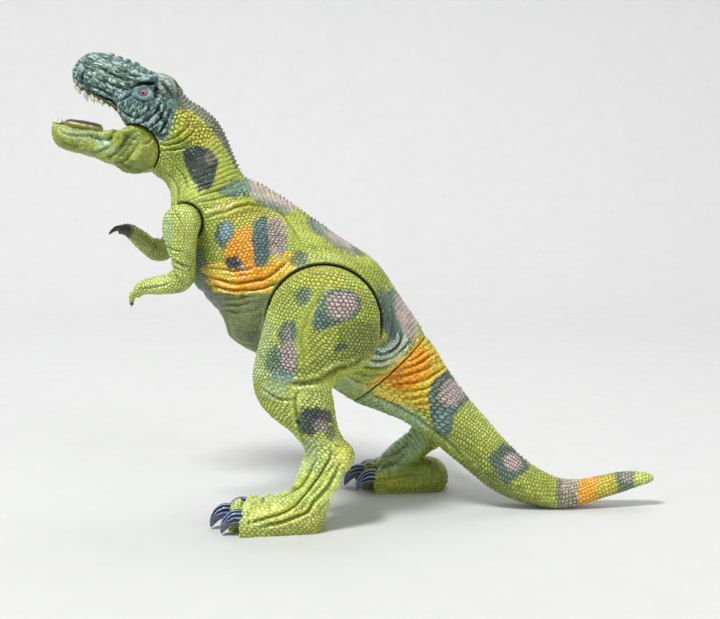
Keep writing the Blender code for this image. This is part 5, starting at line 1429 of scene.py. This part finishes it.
FINGER = [(-0.35, -0.20, 1.0), (0.0, 0.0, 1.0), (0.22, 0.30, 0.85), (0.30, 0.65, 0.55)]
FINGER_CLAW = [(0.24, 0.40, 0.62), (0.30, 0.65, 0.52), (0.30, 0.85, 0.34), (0.27, 1.0, 0.10)]
FINGER_LENGTH = 0.0066
FINGER_RADIUS = 0.0015


def finger_rings(offset, rows, lean, grow=1.0):
    """A finger or its claw, from rows of how far ahead, how far down and how wide."""
    wrist = (side_point(*ARM_SECTIONS[-1][0:2]) + side_point(*ARM_SECTIONS[-1][2:4])) / 2
    rings = []
    for ahead, drop, width in spread(rows, 5):
        centre = wrist + np.array((-ahead, 0, -drop)) * FINGER_LENGTH
        centre = centre + SIDE * (ARM_PLANE + offset * FINGER_RADIUS * 1.25)
        rings.append(circle(centre, (lean, 0, -1.2), FINGER_RADIUS * width * grow, 24))
    return rings


def arms():
    """Both arms with their pegs and claws. The right one is raised."""
    for name, sign, seed in (("left", -1, 301), ("right", 1, 401)):
        peg_end = SHOULDER_FLOOR - SHOULDER_BED - SEAT_GAP * 2 - RETAINER_THICKNESS
        disc = [(peg_end, SHOULDER_PEG_RADIUS), (SHOULDER_FLOOR + SEAT_GAP, SHOULDER_PEG_RADIUS),
                (SHOULDER_FLOOR + SEAT_GAP, SHOULDER_DISC_RADIUS), (ARM_PLANE, SHOULDER_DISC_RADIUS)]
        solids = [tube(section_rings(spread(ARM_SECTIONS, 7), ARM_PLANE, ARM_THICKNESS, ARM_THICKNESS * 0.44,
                                     0, 56)),
                  turned(SHOULDER, SIDE, disc, 64),
                  *[tube(finger_rings(offset, FINGER, -1)) for offset in (-1, 1)]]
        part = melted("arm_skin_" + name, solids, FINE_VOXEL, 3)
        hooks = made("arm_claws_" + name,
                     *[tube(finger_rings(offset, FINGER_CLAW, -0.6, 1.06)) for offset in (-1, 1)])
        if sign < 0:
            mirror(part)
            mirror(hooks)
        points, normals = points_of(part), normals_of(part)
        place = photo_place(points)
        run, around = unrolled(points, middle_line(ARM_SECTIONS))[1:]
        run, around = swayed(points, run, around, broad=0.8, fine=0.14, seed=seed)
        found = net(around / 1.65, run / 1.4, seed)
        random = found[2]
        cover, raised = pillows(found, 0.38)
        height = cover * MM
        deep = folds(place, LEFT_ARM_FOLDS)[0]
        height += deep + swellings(place, [(1.0, (182, 222, 12, 20, 0)), (0.8, (184, 276, 12, 12, 0)),
                                           (0.6, (152, 287, 16, 6, -5))])
        out = np.abs(points[:, 1]) - (ARM_PLANE - ARM_THICKNESS * 0.44)
        level = np.clip(height, -1.0 * MM, 1.2 * MM) * step(0.4, 2.6, out / MM)
        level = np.where((level > 0) & (normals[:, 0] > 0), level * 0.3, level)
        put_points(part, points + normals * level[:, None])
        layers = [(PALE_GREEN, 0.45, (170, 250, 60, 60, 0)), (MINT, 0.55, (165, 226, 8, 30, 0)),
                  (PALE_GREEN, 0.5, (180, 210, 14, 14, 0)),
                  (PALE_GREEN, 0.4, (150, 285, 26, 7, -6)), (LEAF, 0.4, (190, 270, 6, 20, 0))]
        colours = painted(place, points, GREEN, layers, seed + 51, random)
        # painted shade in the folds
        colours = mixed(colours, colours * 0.5, 0.6 * step(0.05, -0.5, deep / MM))
        if sign > 0:
            wrist = middle_line(ARM_SECTIONS)[-1]
            hand = step(9.0, 5.5, np.hypot(points[:, 0] - wrist[0], points[:, 2] - wrist[1]) / MM)
            # the raised far arm is painted darker all over as painted shade, and its hand black
            colours = mixed(colours * 0.85, BLACK, 0.92 * hand)
        brush(part, painted_shade_and_highlight(colours, points, raised, random, seed + 61))
        lines = noise(points_of(hooks), 0.4 * MM, seed)
        brush(hooks, mixed(np.tile(NAVY * 0.8, (len(lines), 1)), STEEL_BLUE * 0.6,
                           0.4 * step(0.2, 0.8, lines)))
        if sign > 0:
            lift = (Matrix.Translation(SHOULDER) @ Matrix.Rotation(RIGHT_ARM_LIFT, 4, "Y")
                    @ Matrix.Translation(-Vector(SHOULDER)))
            part.data.transform(lift)
            hooks.data.transform(lift)
        seated(dressed(part, SKIN), name + "_arm", "limb_skin", "arm_" + name)
        seated(dressed(hooks, CLAW), name + "_arm", "limb_skin")


# Tail

TAIL_FOLDS = [
    (0.8, 1.5, 0.7, [(384, 380), (396, 376), (412, 374), (428, 368), (440, 360)]),
    (0.8, 1.5, 0.7, [(388, 386), (402, 384), (418, 382), (434, 374), (446, 366)]),
    (0.7, 1.5, 0.7, [(394, 392), (408, 391), (424, 389), (438, 381)]),
    (0.7, 1.5, 0.6, [(402, 398), (416, 398), (430, 395)]),
    (0.7, 1.4, 0.6, [(396, 370), (410, 367), (424, 361), (436, 352)]),
    (0.6, 1.4, 0.6, [(404, 362), (416, 358), (428, 350)]),
    (0.6, 1.4, 0.6, [(410, 404), (422, 404), (432, 402)]),
    (0.7, 1.6, 0.6, [(346, 384), (370, 394), (396, 406), (420, 420), (446, 440), (470, 464)]),
]
TAIL_PAINT = [
    (PALE_GREEN, 0.35, (478, 420, 34, 14, 48)), (LEAF, 0.6, (470, 462, 60, 12, 46)),
    (OLIVE, 0.55, (500, 486, 60, 9, 25)),
    (MINT, 0.7, [(340, 370), (366, 380), (400, 400), (430, 424), (426, 432), (392, 416), (356, 402),
                 (338, 390)]),
    (YELLOW, 0.9, [(372, 396), (392, 366), (424, 334), (440, 350), (448, 368), (436, 392), (430, 412),
                   (402, 404)]),
    (ORANGE, 1.0, [(386, 382), (404, 362), (422, 344), (430, 358), (430, 372), (414, 388), (398, 390)]),
    (TEAL, 0.9, [(446, 370), (456, 372), (474, 398), (464, 403), (454, 418), (450, 438), (436, 434),
                 (430, 414), (428, 396), (434, 380)]),
    (LILAC * 1.15, 0.95, (452, 393, 12, 15, 30)), (BLUE, 0.35, (441, 420, 7, 10, 0)),
    (TEAL, 0.85, [(504, 442), (516, 450), (530, 466), (520, 476), (506, 484), (496, 474), (488, 458)]),
    (LILAC * 1.15, 0.95, (513, 462, 10, 8, 35)),
    (LILAC, 0.75, [(556, 478), (582, 478), (582, 510), (558, 510)]), (DEEP_TEAL, 0.5, (559, 494, 3, 15, 0)),
    (GREY, 0.5, (568, 500, 10, 8, 0)),
    (ORANGE, 0.95, [(580, 474), (600, 474), (596, 504), (578, 506)]), (YELLOW, 0.6, (606, 487, 10, 12, 0)),
    (TEAL, 0.75, [(615, 470), (634, 468), (634, 492), (618, 493)]), (LILAC, 0.6, (627, 477, 7, 6, 0)),
    (PALE_GREEN, 0.8, (648, 479, 14, 9, 0)),
]
TAIL_RIBS = [
    (0.65, 4.0, 30, (400, 410, 60, 9, 36)), (0.55, 4.0, 62, (470, 470, 40, 9, 46)),
    (0.40, 4.2, 20, (520, 494, 50, 7, 16)),
]


def tail_skin():
    """The tail with its keyed socket."""
    start = section_rings(BODY_SECTIONS[-1:], 0, HALF_WIDTH, 1, BODY_TAPER, 88)[0] + TAIL_AXIS * TAIL_GAP
    rows = spread([BODY_SECTIONS[-1]] + TAIL_SECTIONS, 9)[9:]
    rings = section_rings(rows, 0, HALF_WIDTH, 1, BODY_TAPER, 88)
    bridge = [start + (rings[0] - start) * t for t in (0.0, 0.33, 0.66)]
    part = melted("tail_skin", [tube(bridge + rings)], LIMB_VOXEL, 4)
    points, normals = points_of(part), normals_of(part)
    place = photo_place(points)
    middle = spread([((a + c) / 2, (b + d) / 2) for a, b, c,
                     d in [r[:4] for r in [BODY_SECTIONS[-1]] + TAIL_SECTIONS]], 6)
    axis = np.stack([side_point(a, b) for a, b in middle])
    line = photo_place(axis)
    along = line_fields(place, line, 1)[1]
    thin = step(0.35, 1.0, along)
    flat, run, around = unrolled(points, np.array([(p[0], p[2]) for p in axis]))
    ahead, up, run, around = swayed(points, flat[:, 0], flat[:, 1], run, around, seed=501)
    root = step(462, 440, place[:, 0])
    found = net(around / 2.6 + 0.2 * run, run / 1.75, 501, 0.20)
    random = found[2]
    deep, ribbed, plain = wrinkled(place, points, TAIL_FOLDS, TAIL_RIBS, 1.4, 500)
    cover, raised = laid(((1 - root, found, 0.60),
                          (root, net(ahead / 4.2, -(up + 0.12 * ahead) / 2.0, 502, 0.2), 0.62)), 0.25)
    height = (cover - SUNK) * MM * (1 - 0.30 * thin) * plain + deep + ribbed
    crest = np.maximum(np.sin(2 * math.pi * along * TAIL_TEETH), -0.2) * step(3 * MM, 0.8 * MM,
                                                                              np.abs(points[:, 1]))
    height += 0.45 * MM * crest * step(0.3, 0.8, normals[:, 2]) * (1 - 0.6 * thin)
    level = np.clip(height, -1.3 * MM, 1.2 * MM)
    level *= step(1.0, 2.6, (points - SEAM_CENTRE) @ TAIL_AXIS / MM)
    level = np.where((np.abs(normals[:, 2]) > 0.5) & (points[:, 2] < 0.0006) & (level > 0), 0, level)
    put_points(part, points + normals * level[:, None])
    colours = painted(place, points, GREEN, TAIL_PAINT, 551, random)
    # painted shade in the folds and ribs
    colours = mixed(colours, colours * 0.35, 0.7 * step(0.05, -0.70, (deep + 0.5 * ribbed) / MM))
    # painted shade: downward-facing skin turned olive
    colours = mixed(colours, OLIVE, 0.30 * step(-0.2, -0.9, normals[:, 2]))
    brush(part, painted_shade_and_highlight(colours, points, 1 - plain * (1 - raised), random, 561))
    dressed(part, SKIN)
    reach = TAIL_PEG_RADIUS + 0.0022 + EASE
    half = 0.0015 + EASE
    key = block((-reach, -half, 0.0001), (reach, half, TAIL_SOCKET_DEPTH - 0.0003))
    turn = Vector(TAIL_AXIS).to_track_quat("Z", "Y").to_matrix()
    key = (np.array([turn @ Vector(p) for p in key[0]]) + SEAM_CENTRE, key[1])
    cut(part, turned(SEAM_CENTRE, TAIL_AXIS,
                     [(-0.002, TAIL_PEG_RADIUS + EASE), (TAIL_SOCKET_DEPTH + 0.0003, TAIL_PEG_RADIUS + EASE)],
                     48),
        turned(SEAM_CENTRE, TAIL_AXIS,
               [(0, TAIL_SCREW_HOLE), (TAIL_SOCKET_DEPTH + TAIL_SCREW_LENGTH + 0.0003, TAIL_SCREW_HOLE)], 24),
               key, inside=RAW)
    rims_shaded(part)
    crisp(dressed(part, SKIN), 50)
    seated(part, "tail", "tail_skin", "tail")


# Jaw, mouth and eyes

JAW_FOLDS = [
    (0.8, 1.5, 0.6, [(112, 134), (118, 130), (126, 127)]),
    (0.5, 1.4, 0.5, [(80, 151), (92, 152), (104, 150), (114, 144), (120, 136)]),
    (0.9, 1.7, 0.7, [(104, 158), (114, 154), (122, 146), (128, 136), (138, 131)]),
    (0.8, 1.6, 0.7, [(116, 163), (126, 160), (132, 152), (140, 142)]),
    (0.5, 1.3, 0.5, [(62, 134), (74, 136), (86, 136), (98, 134)]),
    (0.4, 1.3, 0.5, [(58, 140), (70, 145), (84, 146)]),
    (0.4, 1.2, 0.5, [(140, 146), (150, 142), (154, 134)]),
]
JAW_LIP = [(-0.1319, 0.1924), (-0.1280, 0.1919), (-0.1241, 0.1922), (-0.1207, 0.1929), (-0.1177, 0.1936)]
JAW_SWELLINGS = [
    (1.0, (140, 150, 13, 17, 0)), (0.9, (121, 133, 7, 4, -30)), (0.8, (118, 146, 14, 6, -35)),
    (0.7, (128, 160, 16, 6, -20)),
    (0.6, (66, 128, 10, 5, 10)), (0.6, (92, 133, 18, 4, 8)), (0.5, (92, 149, 22, 5, 14)),
]
JAW_PAINT = [
    (LEAF * 0.78, 0.95, (137, 151, 22, 22, 0)), (OLIVE, 0.5, (146, 160, 13, 13, 0)),
    (PALE_GREEN, 0.5, (62, 128, 10, 6, 20)), (MINT, 0.35, (84, 136, 26, 6, 8)),
    (LEAF * 0.85, 0.4, (140, 152, 17, 18, 0)),
    (MINT, 0.8, (104, 141, 8, 5.5, -10)), (MINT, 0.6, (100, 149, 16, 2.6, -14)),
    (TEAL, 0.45, (99, 138, 5, 3, 0)),
    (MINT, 0.5, (112, 151, 12, 3, -20)), (LEAF, 0.5, (84, 148, 26, 4, 12)),
    (YELLOW, 0.15, (150, 150, 8, 14, 0)),
    (OLIVE, 0.6, (126, 168, 18, 4, 20)), (OLIVE, 0.5, (128, 141, 14, 3, -35)),
    (PALE_GREEN, 0.4, (136, 150, 6, 10, 20)),
]


def tooth_rings(base, direction, length, radius):
    """A curved tooth that leans towards the throat."""
    rings = []
    for share, width in spread([(-0.30, 0.95), (0.0, 1.0), (0.35, 0.85), (0.7, 0.50), (1.0, 0.10)], 4):
        centre = base + direction * (length * share) + np.array((1, 0, 0)) * (length * 0.28
                                                                              * max(share, 0) ** 2)
        rings.append(circle(centre, direction, radius * width, 20))
    return rings


def tooth_row(name, body, rows, sections, width_share, up, seed, *nodes):
    """A row of teeth down both sides of a jaw, from places along its sections and lengths in mm."""
    solids = []
    for place, length, radius in rows:
        low, top, width = on_sections(sections, place, width_share)
        base = top if up else low
        direction = UP if up else unit(low - top)
        for side in (-1, 1):
            root = base + SIDE * side * (width - radius * MM)
            solids.append(tube(tooth_rings(root, direction, length * MM, radius * MM)))
    part = made(name, *solids)
    more = part.modifiers.new("more", "SUBSURF")
    more.levels = more.render_levels = 1
    applied(part)
    points = points_of(part)
    reach = np.abs(noise(points, 0.9 * MM, seed))
    colours = mixed(np.tile(IVORY, (len(points), 1)), ROOT, 0.45 * reach)
    brush(part, colours)
    dressed(part, TOOTH)
    return seated(part, body, "tooth_ivory", *nodes)


def lower_jaw_skin():
    """The jaw with its ear discs, the slot for the head's core and the bed of the mouth floor."""
    inner = JAW_CORE_WIDTH / 2 + SEAT_GAP
    solids = [tube(section_rings(spread(JAW_SECTIONS, 8), 0, HALF_WIDTH, 1, 0, 72))]
    for side in (-1, 1):
        dome = [(inner * 0.9, JAW_DISC_RADIUS), (inner + JAW_EAR_THICKNESS * 0.62, JAW_DISC_RADIUS),
                (inner + JAW_EAR_THICKNESS * 0.84, JAW_DISC_RADIUS * 0.90),
                (inner + JAW_EAR_THICKNESS, JAW_DISC_RADIUS * 0.62)]
        solids.append(turned(JAW_PIVOT, SIDE * side, dome, 72))
    for side in (-1, 1):
        lip = np.array([(x, side * 0.0114, z) for x, z in JAW_LIP])
        solids.append(tube([circle(place, (1, 0, -0.1), radius * MM, 20, SIDE)
                            for place, radius in zip(lip, (0.7, 1.5, 1.7, 1.6, 0.8))]))
    part = melted("jaw_skin", solids, FINE_VOXEL, 4)
    points, normals = points_of(part), normals_of(part)
    place = photo_place(points)
    tip = step(112, 80, place[:, 0])
    flat = unrolled(points, middle_line(JAW_SECTIONS))[0]
    ahead, up = swayed(points, flat[:, 0], flat[:, 1], broad=0.8, seed=601)
    found = net(ahead / 1.6, up / 1.3, 601, 0.34)
    random, raised = found[2], pillows(found, 1)[1]
    height = (0.08 + 0.24 * tip) * raised * (0.3 + 1.1 * random) * MM
    deep = folds(bent(place, points, 1.0, 4, 645), JAW_FOLDS)[0]
    height += deep + swellings(place, JAW_SWELLINGS)
    flow = puckers(points, 3.4 * MM, (0.85, 0, -0.5), 647)
    height += (0.75 * flow - 0.45) * MM * (1 - 0.4 * tip)
    level = np.clip(height, -1.0 * MM, 1.1 * MM)
    from_pivot = from_axis(points, JAW_PIVOT)
    rim = (from_pivot > JAW_DISC_RADIUS - 0.0012) & (place[:, 0] > 128)
    level = np.where(rim & (level > 0), 0, level)
    level = np.where((np.abs(points[:, 1]) < JAW_CORE_WIDTH / 2 + 0.0008) & (from_pivot < 0.016), 0, level)
    put_points(part, points + normals * level[:, None])
    colours = painted(place, points, GREEN * 0.90, JAW_PAINT, 651)
    # painted shade in the furrows and painted highlight on the ridges between them
    colours = colours * (0.72 + 0.38 * flow)[:, None]
    # painted shade in the folds
    colours = mixed(colours, colours * 0.5, 0.55 * step(0.05, -0.5, deep / MM))
    # painted shade on the upward faces inside the mouth
    upper = step(0.45, 0.85, normals[:, 2]) * step(133, 126, place[:, 0])
    colours = mixed(colours, OLIVE, 0.35 * upper)
    brush(part, painted_shade_and_highlight(colours, points, 1 - (0.35 + 0.65 * tip) * (1 - raised), random, 661, 0.5, 0.30))
    dressed(part, SKIN)
    half = inner
    radius = JAW_CORE_RADIUS + 0.0005
    socket = JAW_AXLE_LENGTH / 2 + 0.0003
    hole = JAW_AXLE_RADIUS + EASE
    slot = turned(JAW_PIVOT, SIDE,
                  [(-socket, hole), (-half, hole), (-half, radius), (half, radius), (half, hole),
                   (socket, hole)], 72)
    low = JAW_PIVOT + np.array((-radius * 1.35, -half + 0.00015, JAW_DISC_RADIUS * 0.38))
    high = JAW_PIVOT + np.array((radius * 0.5, half - 0.00015, JAW_DISC_RADIUS * 2))
    cut(part, slot, block(low, high), tube(tray_rings(SEAT_GAP * 1.5, 8)), inside=LINING_RAW)
    rims_shaded(part)
    crisp(dressed(part, SKIN), 50)
    seated(part, "jaw", "jaw_skin", "lower_jaw")


def tray_rings(grow, power):
    """Rings of the mouth floor, or of its bed where they grow."""
    rings = []
    for place in TRAY_PLACES:
        low, top, width = on_sections(JAW_SECTIONS, place, 0.62)
        down = unit(low - top)
        high = top - down * 0.002 if grow else top + down * 0.0013
        rings.append(section(high, top + down * (0.0039 + grow), width + grow, width + grow, 0, power, 0, 32))
    return rings


def mouth():
    """Mouth floor with its tongue, the palate and the teeth."""
    tongue = []
    for place, height, width in spread([(2.2, 0.62, 0.24), (2.7, 0.90, 0.40), (3.6, 1.0, 0.46),
                                        (4.6, 1.0, 0.44), (5.1, 0.90, 0.36)], 6):
        top, half = on_sections(JAW_SECTIONS, place, width)[1:]
        base = top - UP * 0.0026
        tongue.append(section(base + UP * 0.0062 * height, base, half, half, 0, 2, 0, 32))
    floor = melted("mouth_floor_skin", [tube(tray_rings(0, 4)), tube(tongue)], LINING_VOXEL, 3)
    points, normals = points_of(floor), normals_of(floor)
    groove = np.exp(-(points[:, 1] / (0.5 * MM)) ** 2) * step(0.5, 0.9, normals[:, 2])
    bumps = layered(points, 1.2 * MM, 701)
    put_points(floor, points + normals * ((0.12 * bumps - 0.30 * groove) * MM)[:, None])
    on_tongue = step(0.45, 0.85, normals[:, 2])
    colours = mixed(np.tile(MOUTH, (len(points), 1)), TONGUE, on_tongue)
    # painted shade in the tongue's middle groove
    brush(floor, np.clip(colours * (1 + 0.22 * bumps)[:, None] * (1 - 0.4 * groove)[:, None], 0, 1))
    seated(dressed(floor, LINING), "jaw", "mouth_lining", "mouth_floor")
    palate = melted("palate_skin", [tube(palate_rings(0, 0.0004, 4))], LINING_VOXEL, 2)
    points, normals = points_of(palate), normals_of(palate)
    place = photo_place(points)
    ridges = np.sin(2 * math.pi * (place[:, 0] + 3 * np.abs(points[:, 1]) / MM) / 4.2) * step(0.3, 0.8,
                                                                                              -normals[:, 2])
    put_points(palate, points + normals * (0.14 * ridges * MM)[:, None])
    # painted shade and highlight along the palate's ridges
    colours = np.tile(OLIVE * 0.7,
                      (len(points), 1)) * (1 + 0.25 * ridges + 0.15 * layered(points, 2 * MM, 703))[:, None]
    brush(palate, np.clip(colours, 0, 1))
    seated(dressed(palate, LINING), "body", "mouth_lining", "upper_teeth")
    tooth_row("upper_fangs", "body", [(0.70, 2.4, 1.0), (1.15, 2.9, 1.1), (1.75, 3.2, 1.2), (2.50, 4.7, 1.5),
                                      (3.20, 3.4, 1.25), (3.60, 2.3, 1.0), (4.15, 2.6, 1.05)],
              BODY_SECTIONS, 0.80, False, 705)
    tooth_row("lower_fangs", "jaw", [(0.75, 1.1, 1.15), (1.3, 1.8, 1.3), (1.9, 1.0, 1.05)], JAW_SECTIONS,
              0.80, True, 707)


EYE_RADIUS = 0.0019
EYE_PLACE = (-0.1046, 0.2120)
EYE_OUT = 0.0139


def eyes():
    """Glossy eyes with a pink iris and a black pupil, set into the sockets."""
    for name, side in (("left", -1), ("right", 1)):
        x, z = EYE_PLACE
        centre = np.array((x, side * EYE_OUT, z))
        rings = []
        for along, radius in spread([(-1.0, 0.25), (-0.55, 0.82), (0.0, 1.0), (0.45, 0.86), (0.78, 0.55),
                                     (0.93, 0.22), (0.96, 0.03)], 5):
            rings.append(circle(centre + SIDE * side * along * EYE_RADIUS, SIDE * side,
                                max(radius, 0.02) * EYE_RADIUS, 48))
        part = made("eye_" + name, tube(rings))
        points = points_of(part)
        away = np.linalg.norm(points[:, [0, 2]] - centre[[0, 2]], axis=1) / EYE_RADIUS
        colours = np.tile(BLUE, (len(points), 1))
        colours = mixed(colours, PINK, step(0.86, 0.74, away))
        colours = mixed(colours, IRIS_RIM, 0.7 * step(0.55, 0.40, away))
        pupil = np.hypot((points[:, 0] - centre[0]) / 0.30, (points[:, 2] - centre[2]) / 0.42) / EYE_RADIUS
        colours = mixed(colours, BLACK, step(1.1, 0.8, pupil))
        colours = mixed(colours, BLACK, 0.8 * np.exp(-((away - 0.84) / 0.05) ** 2))
        brush(part, colours)
        seated(dressed(part, EYE), "body", "body_skin")


def inner_pieces():
    """Better finishes for the solids that stay as they are."""
    for name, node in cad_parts.items():
        if node.hide_render:
            continue
        finish = ZINC if "screw" in name or "axle" in name else PEG
        for index in range(len(node.data.materials)):
            node.material_slots[index].material = finish


# Stage


def stage():
    """Pale floor and wall in one sweep, soft lamps and the photograph's camera."""
    reach, behind, rise, bend = 3.0, 1.1, 2.6, 0.5
    profile = [(-reach, 0.0), (behind - bend, 0.0)]
    profile += [(behind - bend + bend * math.sin(t), bend - bend * math.cos(t))
                for t in np.linspace(0.15, math.pi / 2, 12)]
    profile += [(behind, rise)]
    mesh = bpy.data.meshes.new("sweep")
    points = [(x, y, z) for y, z in profile for x in (-reach, reach)]
    faces = [(2 * k, 2 * k + 1, 2 * k + 3, 2 * k + 2) for k in range(len(profile) - 1)]
    mesh.from_pydata(points, [], faces)
    mesh.update()
    sweep = bpy.data.objects.new("sweep", mesh)
    bpy.context.scene.collection.objects.link(sweep)
    paper = material("paper", roughness=(0.75, 0.85), grain=0.02, depth=0.02, colour=linear(206, 207, 206),
                     speck=linear(204, 205, 204))
    mesh.materials.append(paper)
    mesh.shade_smooth()
    for name, place, aim, size, power in (("key", (-1.00, -1.10, 2.40), (0, 0, 0.10), 0.55, 73.0),
                                          ("fill", (1.70, -1.60, 0.90), (0, 0, 0.10), 1.2, 16.0),
                                          ("top", (0.30, 0.60, 2.00), (0, 0, 0.10), 1.0, 8.0)):
        lamp = bpy.data.lights.new(name, "AREA")
        lamp.size = size
        lamp.energy = power
        light = bpy.data.objects.new(name, lamp)
        light.location = place
        light.rotation_euler = (Vector(aim) - Vector(place)).to_track_quat("-Z", "Y").to_euler()
        bpy.context.scene.collection.objects.link(light)
    world = bpy.data.worlds.new("studio")
    world.use_nodes = True
    sky = world.node_tree.nodes["Background"]
    sky.inputs["Color"].default_value = (1, 1, 1, 1)
    sky.inputs["Strength"].default_value = 0.30
    bpy.context.scene.world = world
    bpy.context.scene.view_settings.view_transform = "Standard"
    lens = bpy.data.cameras.new("camera")
    lens.lens = LENS
    lens.sensor_width = SENSOR_WIDTH
    lens.clip_start = 0.02
    lens.clip_end = 20
    camera = bpy.data.objects.new("camera", lens)
    camera.location = (0, -CAMERA_DISTANCE, CAMERA_HEIGHT)
    camera.rotation_euler = (math.pi / 2 - CAMERA_TILT, 0, 0)
    bpy.context.scene.collection.objects.link(camera)
    bpy.context.scene.camera = camera


stage()
body_skins()
legs()
arms()
tail_skin()
lower_jaw_skin()
mouth()
eyes()
inner_pieces()
